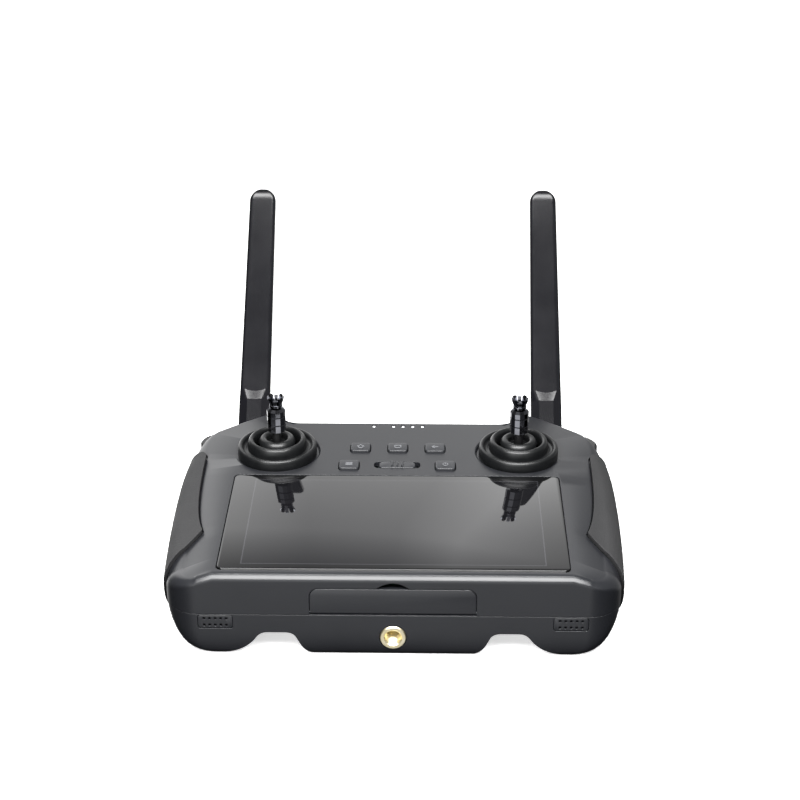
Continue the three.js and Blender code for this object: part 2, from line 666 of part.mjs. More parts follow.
function portBoard() {
  const { y, z } = portBoardSize;
  const board = block(portBoardSize.width, portBoardSize.depth, portBoardSize.thick, 0, y, z);
  const sockets = ports.map(([x, width, height]) => cut(
    block(width, 8, height, x, y - 1.1, z + 0.5 + height / 2),
    block(width - 1.2, 6, height - 1.2, x, y - 3.3, z + 0.5 + height / 2),
  ));
  return joined(board, ...sockets);
}
addPiece('port_board', portBoard(), boardFinish);

function tripodInsert() {
  const body = joined(
    bar(insert.flangeRadius, 1.3, 'y', 0, frontY + 0.45, insert.z, 24),
    bar(insert.bodyRadius, insert.length, 'y', 0, frontY + insert.length / 2 + 0.2, insert.z, 20),
  );
  return cut(body, bar(insert.boreRadius, 21, 'y', 0, frontY, insert.z, 20));
}
addPiece('tripod_insert', tripodInsert(), brassFinish);

function speakerGrille() {
  const panel = frontSlab(speakerOutline(0), frontY + 0.05, frontY + 1.5);
  const holes = [];
  const { pitch, count, rows, rowPitch, radius } = speakerHoles;
  for (let row = 0; row < rows; row += 1) {
    for (let i = 0; i < count; i += 1) {
      const x = speaker.x + (i - (count - 1) / 2) * pitch;
      const z = speaker.z + (row - (rows - 1) / 2) * rowPitch;
      holes.push(bar(radius, 8, 'y', x, frontY, z, 5));
    }
  }
  return cut(panel, ...holes);
}
addPair('speaker_grille', speakerGrille(), blackFinish);
addPair('speaker', joined(
  block(15, 7, 11, speaker.x, frontY + 7, 12.6),
  block(10, 1, 6, speaker.x, frontY + 3.2, 14),
), blackFinish);

// ---- inside ----
function mainBoard() {
  const { width, depth, thick, z } = mainBoardSize;
  const board = cut(block(width, depth, thick, 0, glass.y, z), block(20, 10, 8, 0, -50, z + 0.4));
  return joined(board, ...chips.map(([x, y, size]) => block(size, size, 2, x, y, z + thick)));
}
function batteryPack() {
  return plate(battery.width, battery.depth, 3, 2.6, battery.height, 0, coverSize.y);
}
addPiece('main_board', mainBoard(), boardFinish);
addPiece('battery_pack', batteryPack(), cellFinish);

// ---- antennas ----
function antennaConnector() {
  return joined(
    bar(4.1, 9, 'y', antenna.x, socket.seatY - 4.2, antenna.z, 20),
    bar(6, 1.4, 'y', antenna.x, socket.seatY + 1, antenna.z, 18),
  );
}
addPair('antenna_connector', antennaConnector(), brassFinish);

function antennaKnuckle() {
  const neckStart = socket.seatY + 2;
  const neck = bar(4.9, 3.8, 'y', antenna.x, neckStart + 1.9, antenna.z, 18);
  const tongueStart = neckStart + 3;
  const tongueDepth = antenna.y - tongueStart;
  const tongueY = (antenna.y + tongueStart) / 2;
  const tongue = block(knuckle.tongue, tongueDepth, 8, antenna.x, tongueY, antenna.z);
  const eye = bar(knuckle.eye, knuckle.tongue, 'x', antenna.x, antenna.y, antenna.z, 14);
  const pinHole = bar(knuckle.pinHole, 20, 'x', antenna.x, antenna.y, antenna.z, 12);
  return cut(joined(neck, tongue, eye), pinHole);
}
addPair('antenna_knuckle', antennaKnuckle(), rubberFinish);
addPair('antenna_pin', bar(knuckle.pin, 14, 'x', antenna.x, antenna.y, antenna.z, 12), steelFinish);

// blade standing straight up from its pivot at the origin
function uprightBlade() {
  const halfThick = (antenna.thick / 2) * 1.12;
  const halfWidth = antenna.baseWidth / 2;
  const rings = [];
  const sideCount = 10;
  const { foot, neckTop, faceLow, neckScale, tipScale, tipRound } = blade;
  const roundStart = antenna.length - tipRound;
  const steps = [[foot, 1, neckScale], [neckTop, 1, neckScale], [faceLow, 1, 1], [roundStart, tipScale, 1]];
  for (let i = 1; i <= 3; i += 1) {
    const angle = (i / 3) * Math.PI * 0.46;
    const z = roundStart + tipRound * Math.sin(angle);
    steps.push([z, tipScale * Math.cos(angle), Math.cos(angle) ** 0.4]);
  }
  const eased = (value) => Math.sign(value) * Math.abs(value) ** 0.6;
  for (const [z, widthScale, thickScale] of steps) {
    const ring = [];
    for (let i = 0; i < sideCount; i += 1) {
      const angle = ((i + 0.5) / sideCount) * Math.PI * 2;
      const x = eased(Math.cos(angle)) * halfWidth * widthScale;
      const y = eased(Math.sin(angle)) * halfThick * thickScale;
      ring.push([x, y, z]);
    }
    rings.push(ring);
  }
  const bladeBody = ringLoft(rings.reverse());
  const eyes = bar(knuckle.outerEye, antenna.baseWidth, 'x', 0, 0, 0, 16);
  const slot = joined(
    block(knuckle.slot, 20, 12, 0, 0, 0),
    bar(6.2, knuckle.slot, 'x', 0, 0, 0, 16),
  );
  return cut(joined(bladeBody, eyes), slot, bar(knuckle.pinHole, 30, 'x', 0, 0, 0, 12));
}

function antennaBlade() {
  const geometry = geometryOf(uprightBlade());
  geometry.rotateX(-THREE.MathUtils.degToRad(antenna.tilt));
  return solid(geometry.translate(antenna.x, antenna.y, antenna.z));
}
addPair('antenna_blade', antennaBlade(), rubberFinish);

// ---- shoulder dials ----
function shoulderDial() {
  const outline = flutedOutline(dial.radius, dial.radius - dial.flute, 12);
  const wheel = slab(outline, dial.z - dial.thick / 2, dial.thick, dial.x, dial.y);
  return cut(wheel, bar(dial.bore, 20, 'z', dial.x, dial.y, dial.z, 12));
}
addPair('shoulder_dial', shoulderDial(), blackFinish);
addPair('dial_axle', joined(
  bar(1.2, 7.6, 'z', dial.x, dial.y, dial.z - 1.2, 8),
  bar(3, 1.2, 'z', dial.x, dial.y, dial.z - 5.2, 12),
), steelFinish);

// ---- screws ----
function screw(x, y, headLow, headHeight, headRadius, shaftRadius, length) {
  const head = bar(headRadius, headHeight, 'z', x, y, headLow + headHeight / 2, 10);
  const shaft = bar(shaftRadius, length, 'z', x, y, headLow + headHeight - 0.2 + length / 2, 8);
  const socketCut = bar(headRadius * 0.45, headHeight, 'z', x, y, headLow, 6);
  return cut(joined(head, shaft), socketCut);
}
caseScrews.forEach(([x, y], i) => {
  addPair(`case_screw_${i === 0 ? 'front' : 'rear'}`, screw(x, y, 2, 1.6, 3, 1.4, 19), steelFinish);
});
coverScrewYs.forEach((y, i) => {
  addPiece(`cover_screw_${i === 0 ? 'front' : 'rear'}`, screw(0, y, 0.25, 1, 2.2, 1.1, 2.4), steelFinish);
});

export default group;
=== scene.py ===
import math

import bmesh
import bpy
from mathutils import Matrix, Vector


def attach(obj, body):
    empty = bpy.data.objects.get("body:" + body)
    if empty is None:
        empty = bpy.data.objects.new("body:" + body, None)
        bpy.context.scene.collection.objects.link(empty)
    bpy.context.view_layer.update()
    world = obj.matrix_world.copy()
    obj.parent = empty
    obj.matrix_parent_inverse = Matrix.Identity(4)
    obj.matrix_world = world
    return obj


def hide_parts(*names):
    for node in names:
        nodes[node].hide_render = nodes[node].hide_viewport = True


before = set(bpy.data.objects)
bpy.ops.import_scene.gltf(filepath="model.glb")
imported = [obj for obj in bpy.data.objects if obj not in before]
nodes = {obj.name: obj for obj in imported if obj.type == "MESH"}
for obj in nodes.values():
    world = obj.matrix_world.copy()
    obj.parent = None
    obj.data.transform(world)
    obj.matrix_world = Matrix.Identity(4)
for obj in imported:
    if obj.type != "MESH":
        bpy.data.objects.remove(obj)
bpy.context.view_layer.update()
mm = 0.001
print("frame loaded:", len(nodes), "nodes")


# mesh tools: every outline and ring is in millimetres
def makeMesh(name, verts, faces, crease=32):
    mesh = bpy.data.meshes.new(name)
    shape = bmesh.new()
    made = [shape.verts.new(Vector(v) * mm) for v in verts]
    for face in faces:
        shape.faces.new([made[i] for i in face])
    bmesh.ops.recalc_face_normals(shape, faces=shape.faces)
    shape.to_mesh(mesh)
    shape.free()
    piece = addObject(name, mesh)
    shadeSmooth(piece, crease)
    return piece


def addObject(name, data):
    made = bpy.data.objects.new(name, data)
    bpy.context.scene.collection.objects.link(made)
    return made


def shadeSmooth(piece, crease):
    for polygon in piece.data.polygons:
        polygon.use_smooth = True
    piece.data.set_sharp_from_angle(angle=math.radians(crease))


def loft(name, rings, closed=False, crease=32):
    count = len(rings[0])
    verts = [v for ring in rings for v in ring]
    faces = []
    for r in range(len(rings) if closed else len(rings) - 1):
        low = r * count
        high = ((r + 1) % len(rings)) * count
        for i in range(count):
            j = (i + 1) % count
            faces.append((low + i, low + j, high + j, high + i))
    if not closed:
        faces.append(tuple(range(count)))
        faces.append(tuple(range((len(rings) - 1) * count, len(rings) * count)))
    return makeMesh(name, verts, faces, crease)


def insetOutline(outline, by):
    # each corner moves along its mitre
    moved = []
    count = len(outline)
    area = sum(outline[i - 1][0] * outline[i][1] - outline[i][0] * outline[i - 1][1] for i in range(count))
    way = 1 if area > 0 else -1
    for i, (x, y) in enumerate(outline):
        before = Vector((x - outline[i - 1][0], y - outline[i - 1][1])).normalized()
        after = Vector((outline[(i + 1) % count][0] - x, outline[(i + 1) % count][1] - y)).normalized()
        first = Vector((-before.y, before.x)) * way
        second = Vector((-after.y, after.x)) * way
        middle = (first + second).normalized()
        reach = by / max(0.4, middle.dot(first))
        moved.append((x + middle.x * reach, y + middle.y * reach))
    return moved


def along(axis, a, b, level):
    # a flat point and a level, turned so that the level runs along the axis
    return {"z": (a, b, level), "y": (a, level, b), "x": (level, a, b)}[axis]


def easedPrism(name, outline, low, high, ease=0.0, lowEase=None, axis="z", steps=3, crease=32):
    # an outline drawn from low to high with rounded rims; along y the outline is in x and z
    lowEase = ease if lowEase is None else lowEase
    levels = []
    for i in range(steps + 1 if lowEase else 1):
        turn = math.pi / 2 * (1 - i / steps) if lowEase else 0
        levels.append((low + lowEase * (1 - math.sin(turn)), lowEase * (1 - math.cos(turn))))
    for i in range(steps + 1 if ease else 1):
        turn = math.pi / 2 * i / steps if ease else 0
        levels.append((high - ease * (1 - math.sin(turn)), ease * (1 - math.cos(turn))))
    rings = []
    for level, inset in levels:
        ring = insetOutline(outline, inset) if inset else outline
        rings.append([along(axis, a, b, level) for a, b in ring])
    return loft(name, rings, crease=crease)


def roundedOutline(width, depth, corner, x=0, y=0, steps=6):
    points = []
    for quarter, (sx, sy) in enumerate([(1, -1), (1, 1), (-1, 1), (-1, -1)]):
        for i in range(steps + 1):
            angle = math.radians(-90 + 90 * quarter + 90 * i / steps)
            points.append((x + sx * (width / 2 - corner) + corner * math.cos(angle),
                           y + sy * (depth / 2 - corner) + corner * math.sin(angle)))
    return points


def turned(name, profile, at=(0, 0, 0), axis="z", sides=64, closed=True, crease=32, flutes=0, fluteDepth=0,
           facets=0):
    # profile is (radius, level) pairs; closed joins its last point to its first
    rings = []
    for radius, level in profile:
        ring = []
        for i in range(sides):
            angle = 2 * math.pi * i / sides
            wave = 0.5 - 0.5 * math.cos(angle * flutes) if flutes else 0
            reach = radius - fluteDepth * wave ** 3
            if facets:
                half = math.pi / facets
                reach *= math.cos(half) / math.cos(angle % (2 * half) - half)
            local = along(axis, reach * math.cos(angle), reach * math.sin(angle), level)
            ring.append(tuple(p + q for p, q in zip(local, at)))
        rings.append(ring)
    return loft(name, rings, closed=closed, crease=crease)


def bar(name, radius, start, end, at, axis="z", sides=48, ease=0.0):
    profile = [(radius - ease, start), (radius, start + ease), (radius, end - ease), (radius - ease, end)]
    if not ease:
        profile = [(radius, start), (radius, end)]
    return turned(name, profile, at, axis, sides, closed=False)


def block(name, low, high):
    (x0, y0, z0), (x1, y1, z1) = low, high
    return easedPrism(name, [(x0, y0), (x1, y0), (x1, y1), (x0, y1)], z0, z1)


def smoothed(points, steps=4):
    # a smooth line through the points, with the first and last kept
    line = []
    for i in range(len(points) - 1):
        p0, p1 = points[max(0, i - 1)], points[i]
        p2, p3 = points[i + 1], points[min(len(points) - 1, i + 2)]
        for k in range(steps):
            t = k / steps
            line.append(tuple(0.5 * (2 * b + (c - a) * t + (2 * a - 5 * b + 4 * c - d) * t * t
                                     + (3 * b - a - 3 * c + d) * t ** 3)
                              for a, b, c, d in zip(p0, p1, p2, p3)))
    line.append(points[-1])
    return line


def bezierLine(points, steps):
    return [tuple(bezierAt(points, k / steps)[0]) for k in range(steps + 1)]


def bezierAt(points, t):
    stage = [Vector(p) for p in points]
    way = None
    while len(stage) > 1:
        if len(stage) == 2:
            way = (stage[1] - stage[0]).normalized()
        stage = [a.lerp(b, t) for a, b in zip(stage, stage[1:])]
    return stage[0], way


def mix(a, b, t):
    return a + (b - a) * t


def blend(first, second, *shares):
    return [mix(a, b, share) for a, b, share in zip(first, second, shares)]


def settleMesh(piece, crease=32):
    # the piece's mesh with its modifiers worked in; with no crease its normals stay as they come
    view = bpy.context.evaluated_depsgraph_get()
    made = bpy.data.meshes.new_from_object(piece.evaluated_get(view))
    piece.modifiers.clear()
    piece.data = made
    if crease:
        shadeSmooth(piece, crease)


def weighNormals(piece):
    # large flat faces keep their own direction, so the plate shows no folds
    step = piece.modifiers.new("weigh", "WEIGHTED_NORMAL")
    step.keep_sharp = True
    step.weight = 60
    settleMesh(piece, None)


def carve(piece, tools, how="DIFFERENCE", crease=32):
    for tool in tools:
        step = piece.modifiers.new("carve", "BOOLEAN")
        step.operation = how
        step.solver = "MANIFOLD"
        step.object = tool
    settleMesh(piece, crease)
    for tool in tools:
        bpy.data.objects.remove(tool)
    return piece


def mirrored(piece, name):
    mesh = piece.data.copy()
    mesh.transform(Matrix.Scale(-1, 4, (1, 0, 0)))
    mesh.flip_normals()
    return addObject(name, mesh)


def both(piece):
    return [piece, mirrored(piece, piece.name + "Twin")]


def joinPieces(name, parts, crease=32):
    shape = bmesh.new()
    for part in parts:
        shape.from_mesh(part.data)
        bpy.data.objects.remove(part)
    mesh = bpy.data.meshes.new(name)
    shape.to_mesh(mesh)
    shape.free()
    piece = addObject(name, mesh)
    shadeSmooth(piece, crease)
    return piece


# shader tools
def linearColour(hexColour):
    value = hexColour.lstrip("#")
    channels = [int(value[i:i + 2], 16) / 255 for i in (0, 2, 4)]
    return [c / 12.92 if c <= 0.04045 else ((c + 0.055) / 1.055) ** 2.4 for c in channels] + [1]


def addNode(tree, kind, settings=None, links=None):
    # a hex colour is turned to linear, and a node given as a link means its first output
    node = tree.nodes.new("ShaderNode" + kind)
    for key, value in (settings or {}).items():
        if isinstance(key, int) or key in node.inputs:
            isHex = isinstance(value, str) and value.startswith("#")
            node.inputs[key].default_value = linearColour(value) if isHex else value
        else:
            setattr(node, key, value)
    for key, source in (links or {}).items():
        socket = source.outputs[0] if isinstance(source, bpy.types.Node) else source
        tree.links.new(socket, node.inputs[key])
    return node


def startFinish(name):
    finish = bpy.data.materials.new(name)
    finish.use_nodes = True
    tree = finish.node_tree
    tree.nodes.clear()
    place = addNode(tree, "TexCoord").outputs["Object"]
    return finish, tree, place


def endFinish(tree, settings, links):
    shader = addNode(tree, "BsdfPrincipled", settings, links)
    addNode(tree, "OutputMaterial", links={"Surface": shader.outputs["BSDF"]})


def mouldedFinish(name, look):
    # colour drifts in soft patches, rims are rubbed lighter, and a grain stands in the surface
    finish, tree, place = startFinish(name)
    dark, light, rubbed = look["hexes"]
    grainMm, grainDepth, grainStrength = look["grain"]
    patches = addNode(tree, "TexNoise", {"Scale": 1 / (look["patchMm"] * mm), "Detail": 3.0},
                      {"Vector": place})
    grain = addNode(tree, "TexVoronoi" if look.get("pebbled") else "TexNoise",
                    {"Scale": 1 / (grainMm * mm)}, {"Vector": place})
    grainHeight = grain.outputs["Distance" if look.get("pebbled") else 0]
    eased = addNode(tree, "Bevel", {"samples": 6, "Radius": look["easeMm"] * mm})
    flat = addNode(tree, "NewGeometry")
    facing = addNode(tree, "VectorMath", {"operation": "DOT_PRODUCT"},
                     {0: eased, 1: flat.outputs["Normal"]})
    rim = addNode(tree, "MapRange", {"From Min": 0.995, "From Max": 0.8, "To Max": look["wear"]},
                  {"Value": facing.outputs["Value"]})
    base = addNode(tree, "Mix", {"data_type": "RGBA", 6: dark, 7: light}, {0: patches})
    worn = addNode(tree, "Mix", {"data_type": "RGBA", 7: rubbed}, {0: rim, 6: base.outputs[2]})
    sheen = addNode(tree, "MapRange",
                    {"From Min": 0.3, "From Max": 0.7, "To Min": look["rough"][0],
                     "To Max": look["rough"][1]}, {"Value": patches})
    bump = addNode(tree, "Bump", {"Strength": grainStrength, "Distance": grainDepth * mm},
                   {"Height": grainHeight, "Normal": eased})
    endFinish(tree, {"IOR": look.get("ior", 1.5)},
              {"Base Color": worn.outputs[2], "Roughness": sheen, "Normal": bump})
    return finish


def machinedFinish(name, look):
    # fine rings left by the lathe or brush, broken up by wider patches of wear
    finish, tree, place = startFinish(name)
    (dark, light), (lineMm, lineDepth, lineStrength) = look["hexes"], look["lines"]
    patches = addNode(tree, "TexNoise", {"Scale": 1 / (look["patchMm"] * mm), "Detail": 4.0},
                      {"Vector": place})
    lines = addNode(tree, "TexWave",
                    {"wave_type": "BANDS", "bands_direction": look["lineAxis"],
                     "Scale": 1 / (lineMm * mm * 20), "Distortion": 0.6, "Detail": 2.0},
                    {"Vector": place})
    base = addNode(tree, "Mix", {"data_type": "RGBA", 6: dark, 7: light}, {0: patches})
    gloss = addNode(tree, "MapRange", {"To Min": look["rough"][0], "To Max": look["rough"][1]},
                    {"Value": patches})
    bump = addNode(tree, "Bump", {"Strength": lineStrength, "Distance": lineDepth * mm},
                   {"Height": lines.outputs["Fac"]})
    endFinish(tree, {"Metallic": 1.0}, {"Base Color": base.outputs[2], "Roughness": gloss, "Normal": bump})
    return finish


# finishes: hexes are dark, light and, if moulded, rubbed rims; rough is a span; grain and lines give size and
# depth in mm, then strength

# ABS, spark eroded: satin dark grey, a pore-fine grain that softens every highlight
absShell = mouldedFinish("absSparkEroded", {
    "hexes": ("#191a1d", "#1e1f22", "#2e2f32"), "patchMm": 26, "wear": 0.5, "rough": (0.29, 0.34),
    "grain": (0.35, 0.02, 0.25), "easeMm": 0.35})  # real grain is about 0.1 mm, drawn coarser
# thermoplastic rubber, stippled: dull, almost no highlight, dots that can be seen
rubberGrip = mouldedFinish("rubberStippled", {
    "hexes": ("#1d1d1e", "#242425", "#303031"), "patchMm": 14, "wear": 0.4, "rough": (0.62, 0.72),
    "grain": (0.8, 0.08, 0.6), "easeMm": 0.5, "pebbled": True})
# ABS key caps, satin moulded: the same grey a little smoother
absKey = mouldedFinish("absSatinKey", {
    "hexes": ("#222326", "#28292c", "#4a4b4e"), "patchMm": 6, "wear": 0.5, "rough": (0.34, 0.42),
    "grain": (0.3, 0.01, 0.2), "easeMm": 0.2})
# pad-printed ink on the keys: matt mid grey, so the signs read without standing out
signInk = mouldedFinish("inkPadPrinted", {
    "hexes": ("#5c5d60", "#6e6f72", "#7c7d80"), "patchMm": 2, "wear": 0.3, "rough": (0.5, 0.62),
    "grain": (0.3, 0.005, 0.1), "easeMm": 0.1})
# silicone bellows, moulded: black-grey with a soft wax-like sheen
siliconeBoot = mouldedFinish("siliconeBellows", {
    "hexes": ("#0b0c0d", "#111213", "#1c1d1e"), "patchMm": 5, "wear": 0.25, "rough": (0.3, 0.38),
    "grain": (0.4, 0.01, 0.2), "easeMm": 0.2})
# glass-filled nylon paddle, moulded: darker than the case, its flat faces pick up a soft sheen
nylonAntenna = mouldedFinish("nylonMattMoulded", {
    "hexes": ("#0c0c0f", "#101014", "#1d1d21"), "patchMm": 18, "wear": 0.4, "rough": (0.17, 0.21),
    "grain": (0.45, 0.012, 0.2), "easeMm": 0.3, "ior": 1.45})
# black polycarbonate, moulded gloss-satin: small inner parts and dials
blackMoulded = mouldedFinish("polycarbonateBlack", {
    "hexes": ("#0c0c0d", "#131314", "#2b2b2d"), "patchMm": 7, "wear": 0.5, "rough": (0.3, 0.42),
    "grain": (0.3, 0.01, 0.15), "easeMm": 0.2, "ior": 1.58})
# heat-shrink film on the cell pack: blue, tight and slightly glossy
shrinkFilm = mouldedFinish("heatShrinkFilm", {
    "hexes": ("#1d3c78", "#2a52a0", "#5a7cc0"), "patchMm": 16, "wear": 0.4, "rough": (0.22, 0.36),
    "grain": (3.0, 0.15, 0.3), "easeMm": 0.6})
# black chrome on turned steel: a dark mirror that shows the bright side of the room as pale streaks
blackChrome = machinedFinish("blackChromeTurned", {
    "hexes": ("#5c5d62", "#75767b"), "patchMm": 3, "lineAxis": "Z", "lines": (0.3, 0.01, 0.12),
    "rough": (0.05, 0.1)})
# brass, fine turned: pale warm gold with a satin glow and lathe rings round the bore
turnedBrass = machinedFinish("brassTurned", {
    "hexes": ("#fbe7ae", "#fffbe6"), "patchMm": 3, "lineAxis": "Y", "lines": (0.3, 0.02, 0.2),
    "rough": (0.3, 0.4)})
# zinc-plated steel: pale bluish grey, faintly brushed
zincSteel = machinedFinish("zincPlatedSteel", {
    "hexes": ("#8a8d92", "#aeb1b6"), "patchMm": 2, "lineAxis": "Z", "lines": (0.25, 0.01, 0.2),
    "rough": (0.25, 0.4)})


def makeScreenGlass():
    # toughened glass, polished and coated: a dark mirror, with the picture area just visible under it
    look = {"borderHex": "#0b0b0c", "pictureHex": "#0f0f11", "edgeLineHex": "#2a2a2d",
            "picture": {"X": (0, 60.35), "Y": (-21.7, 34.0)}, "lineMm": 0.22, "smearMm": 22}
    finish, tree, place = startFinish("toughenedGlassCoated")
    axes = addNode(tree, "SeparateXYZ", links={0: place})
    beyond = []
    for axis, (middle, half) in look["picture"].items():
        shifted = addNode(tree, "Math", {"operation": "SUBTRACT", 1: middle * mm}, {0: axes.outputs[axis]})
        away = addNode(tree, "Math", {"operation": "ABSOLUTE"}, {0: shifted})
        past = addNode(tree, "Math", {"operation": "SUBTRACT", 1: half * mm}, {0: away})
        beyond.append(past)
    outside = addNode(tree, "Math", {"operation": "MAXIMUM"}, {0: beyond[0], 1: beyond[1]})
    picture = addNode(tree, "Math", {"operation": "LESS_THAN", 1: 0.0}, {0: outside})
    near = addNode(tree, "Math", {"operation": "COMPARE", 1: 0.0, 2: look["lineMm"] * mm}, {0: outside})
    smears = addNode(tree, "TexNoise", {"Scale": 1 / (look["smearMm"] * mm), "Detail": 5.0},
                     {"Vector": place})
    base = addNode(tree, "Mix", {"data_type": "RGBA", 6: look["borderHex"],
                                           7: look["pictureHex"]}, {0: picture})
    lined = addNode(tree, "Mix", {"data_type": "RGBA", 7: look["edgeLineHex"]},
                    {0: near, 6: base.outputs[2]})
    gloss = addNode(tree, "MapRange", {"From Min": 0.35, "From Max": 0.75, "To Min": 0.02, "To Max": 0.06},
                    {"Value": smears})
    endFinish(tree, {"IOR": 1.62}, {"Base Color": lined.outputs[2], "Roughness": gloss})
    return finish


def makeBoardFinish():
    # fibreglass board under green solder mask: copper runs show as lighter lines
    look = {"maskHex": "#10301f", "paleHex": "#153a26", "runHex": "#2c6b45", "runMm": 1.2, "gapMm": 0.4,
            "dustMm": 5, "runDepthMm": 0.05}
    finish, tree, place = startFinish("solderMaskBoard")
    runs = addNode(tree, "TexBrick",
                   {"Scale": 1 / (look["runMm"] * 4 * mm), "Color1": look["maskHex"],
                    "Color2": look["paleHex"], "Mortar": look["runHex"],
                    "Mortar Size": look["gapMm"] * 0.08}, {"Vector": place})
    dust = addNode(tree, "TexNoise", {"Scale": 1 / (look["dustMm"] * mm), "Detail": 4.0}, {"Vector": place})
    gloss = addNode(tree, "MapRange", {"To Min": 0.25, "To Max": 0.5}, {"Value": dust})
    bump = addNode(tree, "Bump", {"Strength": 0.4, "Distance": look["runDepthMm"] * mm},
                   {"Height": runs.outputs["Fac"]})
    endFinish(tree, {}, {"Base Color": runs.outputs["Color"], "Roughness": gloss, "Normal": bump})
    return finish


def makeLensFinish():
    # acrylic light guide, polished: white and a little lit, brighter in the middle of each dot
    look = {"dimHex": "#dfe3ea", "brightHex": "#ffffff", "cloudMm": 0.8, "glow": 1.2}
    finish, tree, place = startFinish("acrylicLightGuide")
    cloud = addNode(tree, "TexNoise", {"Scale": 1 / (look["cloudMm"] * mm), "Detail": 2.0}, {"Vector": place})
    base = addNode(tree, "Mix", {"data_type": "RGBA", 6: look["dimHex"], 7: look["brightHex"]}, {0: cloud})
    gloss = addNode(tree, "MapRange", {"To Min": 0.15, "To Max": 0.3}, {"Value": cloud})
    endFinish(tree, {"IOR": 1.49, "Emission Strength": look["glow"]},
              {"Base Color": base.outputs[2], "Emission Color": base.outputs[2], "Roughness": gloss})
    return finish


screenGlass = makeScreenGlass()
maskedBoard = makeBoardFinish()
lightLens = makeLensFinish()
print("finishes made")


def settlePiece(piece, finish, slotName, body, *replaced):
    piece.data.materials.clear()
    piece.data.materials.append(finish)
    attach(piece, body)
    if replaced:
        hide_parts(*replaced)


def settlePair(piece, base, finish, slotName, body, node=None):
    # the right-hand piece and its mirror image
    piece.name = base + "Right"
    twin = mirrored(piece, base + "Left")
    for made, side in ((piece, "right"), (twin, "left")):
        rides = body if body == "root" else f"{body}_{side}"
        settlePiece(made, finish, slotName, rides, *([f"{node}_{side}"] if node else []))


# the case: heights of its deck and seam, wall, front and rear, half of its flat plate, and its sticks
bodySize = {"deck": 37.5, "seam": 19.5, "wall": 2.2, "front": -65.1, "rear": 66.7, "plateHalf": 70.8,
            "stickX": 53.3, "stickY": 38.6, "seamGap": 0.1}
deck, seam, frontY, rearY = bodySize["deck"], bodySize["seam"], bodySize["front"], bodySize["rear"]
seamTop, seamLow = seam + bodySize["seamGap"] / 2, seam - bodySize["seamGap"] / 2
stickX, stickY = bodySize["stickX"], bodySize["stickY"]

# the right half of the case in plan, from the middle of the front round to the middle of the rear
outlineSize = {
    "cornerX": 77, "cornerRadius": 14, "sideX": 93.4, "widestY": 16.5, "sideEnd": 42.5,
    "frontTaper": (2.4, 67.6), "rearTaper": (1.3, 26),
    "shoulder": [(92.1, 42.5), (91.8, 58.5), (84, 65.5)], "bulge": 0.3,
    "lobe": [(62, 77.4), (55, 80), (56, 67.5), (46, rearY)], "lobeTurn": 1.4,
    # outward directions along the shoulder's end and round the lobe
    "shoulderWay": [(0.67, 0.74), (0.44, 0.9)], "lobeWay": [(0.4, 0.92), (-0.1, 0.99)],
}
# at each bend: how far the lip reaches in, how far it drops, and how deep its rounding goes
rimSize = {"front": (3.2, 0, 3.0), "cornerStart": (3.2, 1.9, 4.8), "cornerEnd": (8, 5.2, 13),
           "shoulder": (8, 4.4, 13), "lobe": (2, 4.4, 8), "lobeTop": (1.6, 1.6, 3.6), "rear": (1.6, 0, 1.8)}
# and where the flat plate ends there
plateSize = {"frontY": frontY + 3.2, "cornerBack": 0.8, "taperStart": 18, "taper": 0.47,
             "shoulder": (63.3, 34), "lobe": (58, 46), "lobeTop": (51, 62), "rear": (45.4, rearY - 1.6)}
# the front lip in section: a shallow lead-in, then a chamfer, as parts of its reach and rounding
frontLip = [(0, 0), (0.2, 0.03), (0.36, 0.07), (0.48, 0.115), (0.57, 0.18), (0.69, 0.3), (0.81, 0.43),
            (0.92, 0.56), (0.98, 0.67), (1, 0.82), (1, 1)]
# the underside: middle of its footprint, how much of the outline it takes, and how square its front is
footSize = {"middleY": -11.5, "share": 0.8, "frontShare": 0.91, "frontSquare": 4.5, "seamRise": 2}


